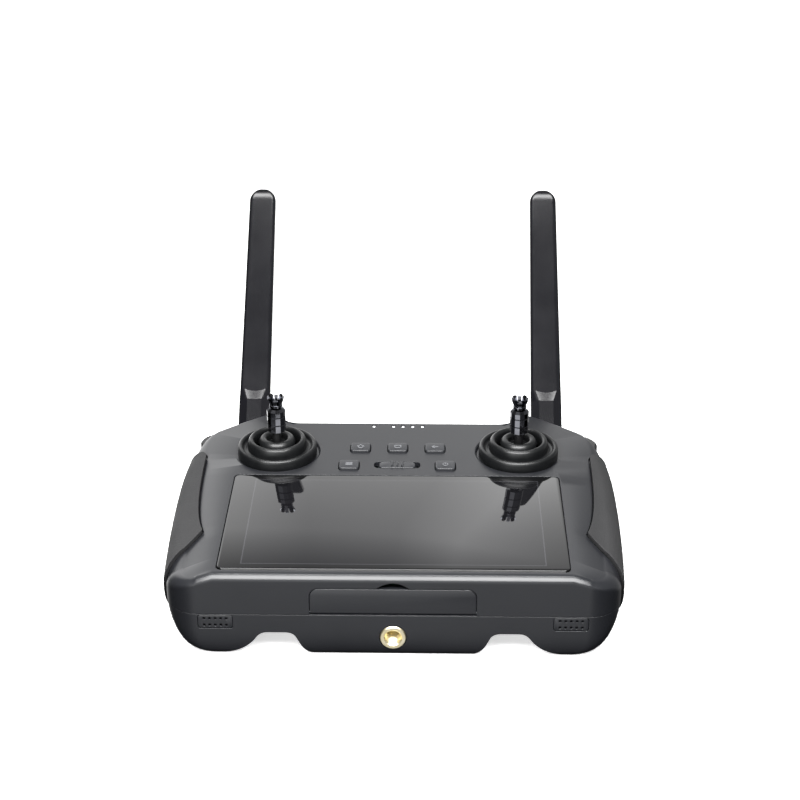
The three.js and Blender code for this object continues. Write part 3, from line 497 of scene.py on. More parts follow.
def bodyStations(fine):
    # each station: its place, outward direction, lip, drop, rounding, and its corner of the plate
    size, rims, plate, half = outlineSize, rimSize, plateSize, bodySize["plateHalf"]
    radius = size["cornerRadius"]
    cornerY = frontY + radius
    stations = []

    def put(place, way, rim, corner):
        stations.append((*place, *way, *rim, *corner))

    for i in range(2 * fine + 1):
        x = half * i / (2 * fine)
        put((x, frontY), (0, -1), rims["front"], (x, plate["frontY"]))
    for i in range(5 * fine + 1):
        t = i / (5 * fine)
        angle = (t - 1) * math.pi / 2
        way = (math.cos(angle), math.sin(angle))
        put((size["cornerX"] + radius * way[0], cornerY + radius * way[1]), way,
            blend(rims["cornerStart"], rims["cornerEnd"], t, math.sqrt(t), t),
            (half, mix(plate["frontY"] + plate["cornerBack"], cornerY, t)))
    for i in range(1, 5 * fine + 1):
        t = i / (5 * fine)
        y = mix(cornerY, size["sideEnd"], t)
        taper, span = size["frontTaper"] if y < size["widestY"] else size["rearTaper"]
        plateY = mix(cornerY, plate["shoulder"][1], t)
        put((size["sideX"] - taper * ((y - size["widestY"]) / span) ** 2, y), (1, 0),
            blend(rims["cornerEnd"], rims["shoulder"], t, t, t),
            (half - max(0, plateY - plate["taperStart"]) * plate["taper"], plateY))
    for i in range(1, 4 * fine + 1):
        t = i / (4 * fine)
        at, way = bezierAt(size["shoulder"], t)
        put((at.x, at.y), (way.y, -way.x), blend(rims["shoulder"], rims["lobe"], t, t, t),
            blend(plate["shoulder"], plate["lobe"], t, t))
    for i in range(1, 3 * fine):
        t = i / (3 * fine)
        lean = min(1, 2 * t)
        x, y = blend(size["shoulder"][-1], size["lobe"][0], t, t)
        put((x, y + size["bulge"] * 4 * t * (1 - t)), blend(*size["shoulderWay"], lean, lean),
            blend(rims["lobe"], rims["lobeTop"], t, t, math.sqrt(t)),
            blend(plate["lobe"], plate["lobeTop"], t, t))
    for i in range(3 * fine + 1):
        t = i / (3 * fine)
        turn = min(1, t * size["lobeTurn"])
        at = bezierAt(size["lobe"], t)[0]
        put((at.x, at.y), blend(*size["lobeWay"], turn, turn),
            blend(rims["lobeTop"], rims["rear"], turn, turn, turn),
            blend(plate["lobeTop"], plate["rear"], t, math.sqrt(t)))
    for i in range(1, 2 * fine + 1):
        x = size["lobe"][-1][0] * (1 - i / (2 * fine))
        put((x, rearY), (0, 1), rims["rear"], (x, plate["rear"][1]))
    return stations


def bodyRings(inset, fine=4, topSteps=10, lowSteps=14):
    stations = bodyStations(fine)
    rings = []

    def addRing(half):
        half = [(max(0, x), y, z) for x, y, z in half]
        rings.append(half + [(-x, y, z) for x, y, z in half[-2:0:-1]])

    top = deck - inset
    lift = inset * 0.6 if inset > 0 else 0
    addRing([(x - lift if x else 0, y - math.copysign(lift, y), top) for *_, x, y in stations])
    for i in range(topSteps + 1):
        angle = math.pi / 2 * i / topSteps
        half = []
        for x, y, nx, ny, lip, drop, rounding, _, _ in stations:
            out, down = math.sin(angle), 1 - max(0, math.cos(angle))
            if topSteps + 1 == len(frontLip):
                facing = max(0, -ny) ** 3
                out, down = blend((out, down), frontLip[i], facing, facing)
            back = lip * (1 - out) + inset
            half.append((x - nx * back, y - ny * back, top - drop - (rounding - drop) * down))
        addRing(half)
    middle = footSize["middleY"]
    for i in range(lowSteps + 1):
        angle = math.pi / 2 * i / lowSteps
        half = []
        for x, y, nx, ny, *_ in stations:
            square = mix(2, footSize["frontSquare"], max(0, -ny) ** 2)
            down = math.sin(angle) ** (2 / square)
            turn = 1 - max(0, math.cos(angle)) ** (2 / square)
            footX = x * footSize["share"]
            footY = middle + (y - middle) * footSize["frontShare" if y < middle else "share"]
            half.append((mix(x, footX, turn) - nx * inset, mix(y, footY, turn) - ny * inset,
                         mix(seam + footSize["seamRise"], inset, down)))
        addRing(half)
    return rings


def bodySolid(name, inset, fine=4, topSteps=10, lowSteps=14):
    return loft(name, bodyRings(inset, fine, topSteps, lowSteps))


# the hollow between the middle block and a grip, seen from the front, from its wall out to the grip; each
# curve gives its steps, then (x, z, how far x grows, how far z grows) per point
channelCurves = [
    (12, [(30.6, 0, -1, 0), (36, 1.5, -1, 0), (37, 6, -1, 0), (38.6, 9, -1, 0)]),
    (8, [(38.6, 9, -1, 0), (39.8, 11.2, -1, 1), (43, 11.2, 0, 1)]),
    (8, [(50, 11.2, 0, 1), (53, 11.2, 1, 1), (54.8, 8.2, 1, 0)]),
    (12, [(54.8, 8.2, 1, 0), (57, 5, 1, 0), (62, 0.6, 1, 0), (71, 0, 1, 0)]),
]


def fingerChannel(grow):
    line, last = [], None
    for steps, curve in channelCurves:
        points = bezierLine([(x + wide * grow, z + high * grow) for x, z, wide, high in curve], steps)
        line += points[1:] if curve[0] == last else points
        last = curve[-1]
    outline = [(line[0][0], -2)] + line + [(line[-1][0], -2)]
    return easedPrism("fingerChannel", outline, frontY - 10, 90, axis="y")


def bodyInside():
    inside = bodySolid("bodyInside", bodySize["wall"], 1, 2, 3)
    return carve(inside, both(fingerChannel(bodySize["wall"])))


# the grip pad's edge seen from above: each curve gives its steps and its points
padCurves = [
    (6, [(88, 43.5), (85.4, 43), (85.2, 39)]),
    (24, [(85.2, 39), (85, 12), (84, -12), (79, -27.5)]),
    (16, [(79, -27.5), (83, -35.5), (88.5, -42), (92, -50)]),
    (8, [(92, -50), (95, -60), (110, -60)]),
]
# it sits in a shallow recess whose rim shows as a dark line
gripSize = {"proud": 1.3, "sunk": 0.5, "recess": 0.9, "rimGap": 0.7, "low": 9.0, "high": 60, "band": 3.0}


def padOutline(grow=0.0):
    line = [(110, 43.5), (88, 43.5)]
    for steps, curve in padCurves:
        line += bezierLine(curve, steps)[1:]
    return insetOutline(line, -grow) if grow else line


def gripRecess():
    band = bodySolid("gripRecess", -gripSize["band"], 2, 6, 8)
    carve(band, [bodySolid("gripFloor", gripSize["recess"], 2, 6, 8)])
    reach = easedPrism("gripReach", padOutline(gripSize["rimGap"]), gripSize["low"] - gripSize["rimGap"],
                       gripSize["high"])
    return carve(band, [reach], "INTERSECT")


def gripPad():
    pad = bodySolid("gripPad", -gripSize["proud"])
    carve(pad, [bodySolid("gripBack", gripSize["sunk"])])
    carve(pad, [easedPrism("gripReach", padOutline(), gripSize["low"], gripSize["high"])], "INTERSECT")
    return pad


# openings in the shells
# the front strip is the width of a black strip of painted shade in the groove along the glass's front edge
glassSize = {"width": 139.4, "depth": 75.8, "corner": 2.6, "y": -21.5, "thick": 1.1, "gap": 0.3, "ease": 0.25,
             "sunk": 1.2, "pocket": 1.5, "frontSeal": 1.2}
keySize = {"width": 8.6, "depth": 7.4, "corner": 1.4, "proud": 1.0, "gap": 0.35, "ease": 0.45, "deep": 2.6,
           "flange": 1.8}
keyPlaces = {"top_left": (-16.5, 41.3), "top_middle": (0, 41.3), "top_right": (16.5, 41.3),
             "lower_left": (-21, 25.1), "lower_right": (21, 25.1)}
slideSize = {"y": 26, "slot": (20.2, 5.9, 2.2), "knob": (15.6, 5.0, 1.6), "rib": (0.8, 4.1, 0.35),
             "ribs": (-2.2, 0, 2.2)}
lightSize = {"xs": (-11.2, -2.3, 2, 6.4, 10.8), "y": 62.8, "radius": 0.8, "dotShare": 0.8}
doorSize = {"half": 32.8, "top": 31.6, "bottom": 19.9, "corner": 3.6, "thick": 1.8, "gap": 0.2, "ease": 0.2,
            "notchHalf": 7.5, "notchRise": 6.1, "barrel": 0.9, "pin": 0.6}
socketSize = {"radius": 7.5, "start": 66, "seat": 75.5, "bore": 4.5, "seatRadius": 6.5}
socketAt = (69.2, 0, 17)
dialSize = {"x": 81.5, "y": 58.6, "z": 28.5, "radius": 8.6, "thick": 5.5, "gap": 0.5, "sideGap": 0.3,
            "core": 1.5, "ease": 0.8, "flutes": 30, "fluteDepth": 0.6}
dialAt = (dialSize["x"], dialSize["y"], dialSize["z"])
speakerSize = {"x": 70.4, "z": 16, "width": 13.8, "height": 6, "corner": 1.2, "holes": 5, "pitch": 2.2,
               "rowPitch": 3, "holeRadius": 0.58}
insertSize = {"z": 9.1, "flange": 5.25, "bore": 3.15, "body": 4.6, "gap": 0.3, "proud": 0.2, "far": 12.2,
              "flangeBack": 1.1, "threadPitch": 0.95, "threadDeep": 0.28}
caseScrews = ((74, -40), (76, 12))
coverScrews = (-47, 43)
hingeAt = (frontY + doorSize["barrel"], doorSize["bottom"] + doorSize["barrel"])
deckCut = (30, 45)
topSize = {
    "doorFrame": ((-36, frontY + 1.8, seam + 0.2), (36, frontY + 4.2, 33)),
    "lightBar": ((-16, lightSize["y"] - 2, 35.1), (16, lightSize["y"] + 3, 37.0)),
    "shelf": ((73, 50.1, 20.7), (90, 67.1, 22.3)), "window": ((-62, -57, 30), (62, 14, 40)),
    "mouth": ((-28, frontY - 2, 21.5), (28, frontY + 9, 29.5)), "stickHole": 16,
    "dish": [(18.4, -1.5), (18.45, -1.1), (18.8, -0.45), (19.1, -0.15), (19.5, 0.02), (19.7, 1)],
}
bottomSize = {
    "rim": (60, 102, 5), "opening": (54.6, 96.6, 4), "bay": (50, 84, 3), "coverY": -2,
    "insertBoss": 7.2, "screwBoss": 4.6, "screwHole": 1.75, "screwSeat": 3.4, "coverHole": 1.4,
    "grille": (14.04, 6.24, 1.25), "mouth": ((64.9, frontY - 5, 13.8), (75.9, frontY + 5, 18.2)),
    "vents": range(-3, 4), "ventPitch": 5, "ventHalf": 0.8, "ventZ": (10.5, 16.5),
}


def slab(low, high, left=-120):
    return block("slab", (left, -120, low), (120, 120, high))


def doorOutline(grow):
    size = doorSize
    w, top, low, corner = size["half"] + grow, size["top"] + grow, size["bottom"] - grow, size["corner"]
    line = [(-w, low), (w, low)]
    for k, side in ((0, 1), (1, -1)):
        for i in range(9):
            angle = math.pi / 2 * (k + i / 8)
            line.append((side * (w - corner) + corner * math.cos(angle),
                         top - corner + corner * math.sin(angle)))
    return line


def notchOutline():
    w, low, peak = doorSize["notchHalf"], doorSize["top"] - 0.5, doorSize["top"] + doorSize["notchRise"]
    return [(-w, low)] + bezierLine([(w, low), (0, peak), (-w, low)], 16)[:-1]


def antennaSockets(low, high):
    # the part of both antenna sockets between two heights
    size = socketSize
    socket = bar("socket", size["radius"], size["start"], size["seat"], socketAt, "y", ease=0.4)
    return both(carve(socket, [slab(low, high, 0)], "INTERSECT"))


def socketCuts():
    size = socketSize
    bore = bar("bore", size["bore"], 60, size["seat"] + 1, socketAt, "y")
    return both(bore) + both(bar("seat", size["seatRadius"], size["seat"], 90, socketAt, "y"))


def topShell():
    shell = bodySolid("topShell", 0)
    carve(shell, [slab(seamTop, 90)], "INTERSECT")
    carve(shell, [bodyInside()])
    doorFrame, lightBar, shelf, window, mouth = (
        block(name, *topSize[name]) for name in ("doorFrame", "lightBar", "shelf", "window", "mouth"))
    carve(shelf, [bodySolid("within", 0.3, 2, 5, 6)], "INTERSECT")
    carve(shell, antennaSockets(seamTop, 90) + both(shelf) + [doorFrame, lightBar], "UNION")
    # the pocket reaches forward by the width of the black strip of painted shade along the glass's front edge
    gap, shadeStripWidth = 2 * glassSize["gap"], glassSize["frontSeal"]
    pocket = roundedOutline(glassSize["width"] + gap, glassSize["depth"] + gap + shadeStripWidth, glassSize["corner"], 0,
                            glassSize["y"] - shadeStripWidth / 2)
    dish = turned("dish", raised(topSize["dish"]), (stickX, stickY, 0), sides=96, closed=False)
    hole = bar("hole", topSize["stickHole"], 24, 45, (stickX, stickY, 0), sides=72)
    pocket = easedPrism("pocket", pocket, deck - glassSize["pocket"], deck + 4)
    carve(shell, both(dish) + both(hole) + [pocket, window])
    tools = []
    gap = 2 * keySize["gap"]
    for x, y in keyPlaces.values():
        around = roundedOutline(keySize["width"] + gap, keySize["depth"] + gap, keySize["corner"] + 0.2, x, y)
        tools.append(easedPrism("keyHole", around, *deckCut))
    tools.append(easedPrism("slot", roundedOutline(*slideSize["slot"], 0, slideSize["y"]), *deckCut))
    tools += [bar("lightHole", lightSize["radius"] + 0.25, *deckCut, (x, lightSize["y"], 0), sides=24)
              for x in lightSize["xs"]]
    carve(shell, tools)
    recess = easedPrism("recess", doorOutline(doorSize["gap"]), frontY - 5, frontY + 2.1, axis="y")
    notch = easedPrism("notch", notchOutline(), frontY - 5, frontY + 4.4, axis="y")
    carve(shell, [recess, mouth, notch])
    reach = dialSize["thick"] / 2 + dialSize["sideGap"]
    dialSlot = bar("dialSlot", dialSize["radius"] + dialSize["gap"], -reach, reach, dialAt, sides=72)
    carve(shell, both(dialSlot) + socketCuts())
    carve(shell, both(gripRecess()))
    weighNormals(shell)
    settlePiece(shell, absShell, "shell", "root", "top_shell")


def bottomShell():
    size, y = bottomSize, bottomSize["coverY"]
    shell = bodySolid("bottomShell", 0)
    carve(shell, both(fingerChannel(0)))
    carve(shell, [slab(-5, seamLow)], "INTERSECT")
    carve(shell, [bodyInside()])
    insertAt = (0, 0, insertSize["z"])
    boss = bar("insertBoss", size["insertBoss"], frontY + 1.5, frontY + 14.5, insertAt, "y")
    bosses = [made for x, at in caseScrews
              for made in both(bar("boss", size["screwBoss"], 1.0, seam - 0.2, (x, at, 0), sides=32))]
    rim = easedPrism("rim", roundedOutline(*size["rim"], 0, y), 1, 4)
    carve(shell, antennaSockets(0, seamLow) + [rim, boss] + bosses, "UNION")
    gap = insertSize["gap"]
    tools = [easedPrism("opening", roundedOutline(*size["opening"], 0, y), -3, 2.3),
             easedPrism("bay", roundedOutline(*size["bay"], 0, y), -3, 7),
             bar("flange", insertSize["flange"] + gap, frontY - 5, frontY + 1.3, insertAt, "y"),
             bar("body", insertSize["body"] + gap, frontY - 1, frontY + 12.7, insertAt, "y")]
    grille = easedPrism("grille", roundedOutline(*size["grille"], speakerSize["x"], speakerSize["z"]),
                        frontY - 5, frontY + 1.9, axis="y")
    carve(shell, tools + both(grille) + both(block("mouth", *size["mouth"])))
    tools = []
    for x, at in caseScrews:
        tools += both(bar("screwHole", size["screwHole"], -5, 30, (x, at, 0), sides=24))
        tools += both(bar("screwSeat", size["screwSeat"], -5, 4, (x, at, 0), sides=40))
    tools += [bar("coverHole", size["coverHole"], -5, 10, (0, at, 0), sides=24) for at in coverScrews]
    low, high = size["ventZ"]
    for i in size["vents"]:
        x, half = size["ventPitch"] * i, size["ventHalf"]
        tools.append(block("vent", (x - half, rearY - 16, low), (x + half, rearY + 4, high)))
    carve(shell, tools + socketCuts())
    carve(shell, both(gripRecess()))
    settlePiece(shell, absShell, "shell", "root", "bottom_shell")


def raised(profile):
    return [(r, deck + z) for r, z in profile]


topShell()
bottomShell()
settlePair(gripPad(), "gripPad", rubberGrip, "pad", "root", "grip_pad")
print("shells and grips made")


# screen
def screenPane():
    size = glassSize
    outline = roundedOutline(size["width"], size["depth"], size["corner"] - size["gap"], 0, size["y"], 8)
    low = deck - size["sunk"]
    pane = easedPrism("screenPane", outline, low, low + size["thick"], size["ease"], 0.0)
    settlePiece(pane, screenGlass, "glass", "root", "screen_glass")


def frontSeal():
    # painted shade: a black strip with a sloping top that fills the groove along the front edge of the glass,
    # dark where the groove lies in shade
    back = glassSize["y"] - glassSize["depth"] / 2 - 0.05
    front = back - glassSize["frontSeal"] - 0.15
    outline = [(front, deck - 1.45), (back, deck - 1.45), (back, deck - 0.12), (front, deck - 0.55)]
    strip = easedPrism("frontSeal", outline, 2 - glassSize["width"] / 2, glassSize["width"] / 2 - 2, axis="x")
    settlePiece(strip, blackMoulded, "inner_black", "root")


screenPane()
frontSeal()


# gimbals: a fixed two-ring bellows round a cap that tilts with its stick
bootSize = {
    "skirt": [(17.5, -1.2), (17.5, 1.4), (17.4, 2.5), (17.0, 3.35), (16.3, 3.65), (15.6, 3.35), (15.2, 2.6),
              (15.0, 1.9)],
    "valley": [(15.0, 1.9), (14.2, 1.45), (13.0, 1.9)],
    "inner": [(13.0, 1.9), (12.85, 4.4), (12.5, 5.8), (11.95, 6.45), (11.35, 6.65), (10.75, 6.45),
              (10.2, 5.7), (9.9, 4.2), (9.9, 1.0)],
    "under": [(16.6, 0.9), (16.6, -1.2)],
    "cap": [(7.9, 4.45), (8.1, 4.6), (7.85, 5.5), (7.5, 6.2), (6.95, 6.75), (6.0, 7.0), (5.1, 6.75),
            (4.6, 6.1), (4.4, 5.1), (4.35, 4.1)],
    "capUnder": [(4.2, 3.9), (2.2, 3.9), (2.2, 3.3), (4.9, 3.3), (5.2, 4.8), (7.6, 4.8)],
}


def gimbalBoot():
    size = bootSize
    profile = smoothed(size["skirt"])[:-1] + smoothed(size["valley"])[:-1] + smoothed(size["inner"])
    return turned("gimbalBoot", raised(profile + size["under"]), (stickX, stickY, 0), sides=96)


def bootCap():
    profile = smoothed(bootSize["cap"]) + bootSize["capUnder"]
    return turned("bootCap", raised(profile), (stickX, stickY, 0), sides=72)


settlePair(gimbalBoot(), "gimbalBoot", siliconeBoot, "boot", "root", "gimbal_boot")
settlePair(bootCap(), "bootCap", siliconeBoot, "boot", "stick", "boot_cap")

# stick: shaft, a collar of three faceted bands, and a crown of flared prongs
stickSize = {
    "shaft": (1.9, -12, 19.6), "hub": (3.4, -2.5, 2.5), "pin": (0.7, 8.3),
    "core": 2.2, "radius": 4.1, "bands": 3, "bandLow": 10.5, "bandPitch": 3.75, "bandHeight": 3.4,
    "facets": 12, "bevel": 0.12, "topBevel": 1.1, "groove": 3.6, "crownLow": 21.9,
    "neck": [(2.0, 0), (2.9, 0.3), (2.9, 1.1), (2.3, 1.6), (1.2, 1.8)],
    "prongs": 8, "flare": 20, "prongLength": 4.7, "prongWidth": 1.7, "prongDeep": 0.72, "prongRoot": 1.75,
    "prongLift": 0.6, "prongTip": [(0.9, 0.95), (0.2, 0.72), (0, 0.45)],
}


def stickShaft():
    at = (stickX, stickY, deck)
    pinRadius, pinHalf = stickSize["pin"]
    shaft = bar("stickShaft", *stickSize["shaft"], at, sides=40, ease=0.2)
    hub = bar("stickHub", *stickSize["hub"], at, sides=40, ease=0.3)
    pin = bar("stickPin", pinRadius, stickY - pinHalf, stickY + pinHalf, (stickX, 0, deck), "y", sides=24)
    return carve(shaft, [hub, pin], "UNION")


def stickCollar():
    size = stickSize
    radius, bevel, groove = size["radius"], size["bevel"], size["groove"]
    profile = [(size["core"], size["bandLow"])]
    for band in range(size["bands"]):
        low = size["bandLow"] + band * size["bandPitch"]
        high = low + size["bandHeight"]
        crown = size["topBevel"] if band == size["bands"] - 1 else bevel
        profile += [(groove, low), (radius - bevel, low), (radius, low + bevel), (radius, high - crown),
                    (radius - crown, high), (min(groove, radius - crown - 0.1), high)]
    profile.append((size["core"], high))
    return turned("stickCollar", raised(profile), (stickX, stickY, 0), sides=120, facets=size["facets"],
                  crease=18)


def stickCrown():
    size = stickSize
    low = deck + size["crownLow"]
    parts = [turned("crownNeck", [(r, low + z) for r, z in size["neck"]], (stickX, stickY, 0), sides=40,
                    closed=False)]
    half, length = size["prongWidth"] / 2, size["prongLength"]
    deep = half * size["prongDeep"]
    root = Matrix.Translation(Vector((size["prongRoot"], 0, 0)) * mm)
    lean = Matrix.Rotation(math.radians(size["flare"]), 4, "Y")
    corners = ((-deep, -half), (deep, -half), (deep, half), (-deep, half))
    levels = [(0, 0.8)] + [(length - back, scale) for back, scale in size["prongTip"]]
    for i in range(size["prongs"]):
        prong = loft("prong", [[(a * scale, b * scale, z) for a, b in corners] for z, scale in levels])
        turn = Matrix.Rotation(2 * math.pi * i / size["prongs"], 4, "Z")
        lift = Matrix.Translation(Vector((stickX, stickY, low + size["prongLift"])) * mm)
        prong.data.transform(lift @ turn @ root @ lean)
        parts.append(prong)
    return joinPieces("stickCrown", parts)


settlePair(stickShaft(), "stickShaft", blackMoulded, "black_chrome", "stick", "stick_shaft")
settlePair(stickCollar(), "stickCollar", blackChrome, "black_chrome", "stick", "stick_collar")
settlePair(stickCrown(), "stickCrown", blackChrome, "black_chrome", "stick", "stick_crown")
print("sticks made")

# keys: eased caps, each with a plain raised sign: house, frame, arrow back, three lines, power, all generic
iconSize = {
    "rise": 0.2, "stroke": 0.42, "sunk": 0.1, "ring": (0.95, 1.25),
    # the strokes of each sign, from x, y to x, y about the middle of its key
    "top_left": [(-1.4, 0, 0, 1.3), (0, 1.3, 1.4, 0), (-0.9, -0.2, -0.9, -1.3), (0.9, -0.2, 0.9, -1.3),
                 (-0.9, -1.3, 0.9, -1.3)],
    "top_middle": [(-1.3, -1, 1.3, -1), (-1.3, 1, 1.3, 1), (-1.3, -1, -1.3, 1), (1.3, -1, 1.3, 1)],
    "top_right": [(-1.3, 0, 1.3, 0), (-1.3, 0, -0.3, 1), (-1.3, 0, -0.3, -1)],
    "lower_left": [(-1.3, 0.9, 1.3, 0.9), (-1.3, 0, 1.3, 0), (-1.3, -0.9, 1.3, -0.9)],
    "lower_right": [(0, 0.2, 0, 1.4)],
}


def strokeBar(x0, y0, x1, y1, low, high):
    ahead = Vector((x1 - x0, y1 - y0)).normalized() * iconSize["stroke"] / 2
    side = Vector((-ahead.y, ahead.x))
    corners = [(x0 - ahead.x - side.x, y0 - ahead.y - side.y), (x1 + ahead.x - side.x, y1 + ahead.y - side.y),
               (x1 + ahead.x + side.x, y1 + ahead.y + side.y), (x0 - ahead.x + side.x, y0 - ahead.y + side.y)]
    return easedPrism("stroke", corners, low, high)


def keyIcon(name, x, y):
    low = deck + keySize["proud"] - iconSize["sunk"]
    high = deck + keySize["proud"] + iconSize["rise"]
    # each stroke stands a micrometre above the one before, so no two faces share a place
    parts = [strokeBar(x + a, y + b, x + c, y + d, low, high + 0.001 * i)
             for i, (a, b, c, d) in enumerate(iconSize[name])]
    if name == "lower_right":
        inner, outer = iconSize["ring"]
        parts.append(turned("ring", [(inner, low), (inner, high), (outer, high), (outer, low)], (x, y, 0),
                            sides=32))
    settlePiece(joinPieces("keyIcon." + name, parts), signInk, "key", "key_" + name)


for name, (x, y) in keyPlaces.items():
    width, depth, corner = keySize["width"], keySize["depth"], keySize["corner"]
    wide, low = keySize["flange"], deck - keySize["deep"]
    cap = easedPrism("keyCap." + name, roundedOutline(width, depth, corner, x, y), low,
                     deck + keySize["proud"], keySize["ease"], 0.0, steps=4)
    flange = easedPrism("keyFlange", roundedOutline(width + wide, depth + wide, corner, x, y),
                        deck - 3.4, low + 0.1)
    carve(cap, [flange], "UNION")
    settlePiece(cap, absKey, "key", "key_" + name, "button_" + name)
    keyIcon(name, x, y)


def slideKnob():
    size, y = slideSize, slideSize["y"]
    knob = easedPrism("slideKnob", roundedOutline(*size["knob"], 0, y), deck - 3, deck + 0.2, 0.35, 0.0)
    flange = block("knobFlange", (-8.5, y - 3.8, deck - 3.3), (8.5, y + 3.8, deck - 2.5))
    ribs = [easedPrism("rib", roundedOutline(*size["rib"], x, y, 3), deck - 0.4, deck + 1.1, 0.2, 0.0)
            for x in size["ribs"]]
    carve(knob, [flange] + ribs, "UNION")
    settlePiece(knob, absKey, "key", "slide_switch", "slide_switch_knob")


slideKnob()


def statusLights():
    size, y = lightSize, lightSize["y"]
    r = size["radius"] * size["dotShare"]
    profile = raised([(r, -3), (r, -0.45), (r * 0.85, -0.25), (r * 0.5, -0.17), (0.1, -0.15)])
    dots = [turned("dot", profile, (x, y, 0), sides=24, closed=False) for x in size["xs"]]
    lights = carve(block("statusLights", (-13, y - 1.9, 33.5), (13, y + 0.3, 34.9)), dots, "UNION")
    settlePiece(lights, lightLens, "light", "root", "status_light_pipe")


statusLights()
print("keys, switch and lights made")


# front: port door on its hinge, tripod insert and speaker grilles
def portDoor():
    size, at = doorSize, (0, *hingeAt)
    door = easedPrism("portDoor", doorOutline(0), frontY, frontY + size["thick"], 0.0, size["ease"], axis="y")
    carve(door, [block("foot", (-40, frontY - 3, 18), (40, frontY + 3, hingeAt[1]))])
    carve(door, [bar("barrel", size["barrel"], -size["half"], size["half"], at, "x", sides=32)], "UNION")
    carve(door, [bar("pinHole", size["pin"], -50, 50, at, "x", sides=24)])
    settlePiece(door, absShell, "shell", "door", "port_door")


portDoor()


def tripodInsert():
    size = insertSize
    bore, body, flange = size["bore"], size["body"], size["flange"]
    front, far, step = frontY - size["proud"], frontY + size["far"], frontY + size["flangeBack"]
    profile = [(bore + 0.5, front), (flange - 0.35, front), (flange, front + 0.35), (flange, step),
               (body, step), (body, far), (bore, far)]
    level = far - 0.4
    while level > front + 1.4:
        profile += [(bore, level), (bore - size["threadDeep"], level - 0.32), (bore, level - 0.64)]
        level -= size["threadPitch"]
    profile.append((bore, front + 0.5))
    insert = turned("tripodInsert", profile, (0, 0, size["z"]), "y", sides=72)
    settlePiece(insert, turnedBrass, "brass", "root", "tripod_insert")


tripodInsert()


def speakerGrille():
    size = speakerSize
    outline = roundedOutline(size["width"], size["height"], size["corner"], size["x"], size["z"])
    plate = easedPrism("grille", outline, frontY + 0.05, frontY + 1.5, 0.0, 0.2, axis="y")
    holes = []
    for row in (-0.5, 0.5):
        for i in range(size["holes"]):
            x = size["x"] + (i - (size["holes"] - 1) / 2) * size["pitch"]
            holes.append(bar("hole", size["holeRadius"], frontY - 3, frontY + 4,
                             (x, 0, size["z"] + row * size["rowPitch"]), "y", sides=16))
    return carve(plate, holes)


settlePair(speakerGrille(), "speakerGrille", absShell, "inner_black", "root", "speaker_grille")
print("front pieces made")

# antennas: a thick neck that steps down, by a sloping facet, to a rounded paddle
antennaSize = {"tilt": 45, "length": 130, "half": 7.2, "tipScale": 0.89, "tip": 6.4, "neckTop": 19.4,
               "bladeLow": 24.8, "neckThick": 4.35, "bladeThick": 3.15, "neckFlat": 3.3, "bladeFlat": 4.95,
               "bevel": 1.9, "facetSag": 1.2, "eye": 4.6, "slotHalf": 3.7, "slotEnd": 6.2, "pin": 1.5,
               "knuckle": 4.9, "tongueHalf": 3.4, "tongueEye": 4.4}
antennaAt = (socketAt[0], 87, socketAt[2])
connectorProfile = [(1.2, 66.8), (4.1, 66.8), (4.1, 75.8), (5.7, 75.8), (6.0, 76.1), (6.0, 76.9), (5.7, 77.2),
                    (1.2, 77.2)]


def halfSection(kind, width):
    # the front half of a cross-section, from the right side round to the left
    thick, flat = antennaSize[kind + "Thick"], antennaSize[kind + "Flat"]
    side = thick - antennaSize["bevel"]
    points = [(width, -side * k / 5) for k in range(5)]
    for k in range(9):
        turn = math.pi / 2 * k / 8
        if kind == "neck":
            points.append((mix(width, flat, k / 8), mix(-side, -thick, k / 8)))
        else:
            points.append((flat + (width - flat) * math.cos(turn), -side - (thick - side) * math.sin(turn)))
    return points + [(flat * (1 - k / 5), -thick) for k in range(1, 6)]


def bladeRing(kind, z, widthScale=1.0, thickScale=1.0, sag=0.0):
    quarter = halfSection(kind, antennaSize["half"])
    front = quarter + [(-x, y) for x, y in quarter[-2::-1]]
    whole = front + [(x, -y) for x, y in front[-2:0:-1]]
    flat = antennaSize["bladeFlat"]
    return [(x * widthScale, y * thickScale, z - sag * max(0, 1 - (x / flat) ** 2)) for x, y in whole]


def markFacet(mesh):
    # the facet between neck and paddle keeps crisp rims
    size = antennaSize
    low, high, near = size["neckTop"] * mm, size["bladeLow"] * mm, 0.02 * mm
    sharp = mesh.attributes.get("sharp_edge") or mesh.attributes.new("sharp_edge", "BOOLEAN", "EDGE")
    for edge in mesh.edges:
        ends = [mesh.vertices[i].co for i in edge.vertices]
        heights = sorted(end.z for end in ends)
        widths = sorted(abs(end.x) for end in ends)
        isLow = abs(heights[0] - low) < near
        onRim = isLow or high - size["facetSag"] * mm - near < heights[0] and heights[1] < high + near
        onSide = (isLow and abs(heights[1] - high) < near
                  and abs(widths[0] - size["neckFlat"] * mm) < 0.05 * mm
                  and abs(widths[1] - size["bladeFlat"] * mm) < 0.05 * mm)
        if onSide or onRim and heights[1] - heights[0] < 0.8 * mm:
            sharp.data[edge.index].value = True


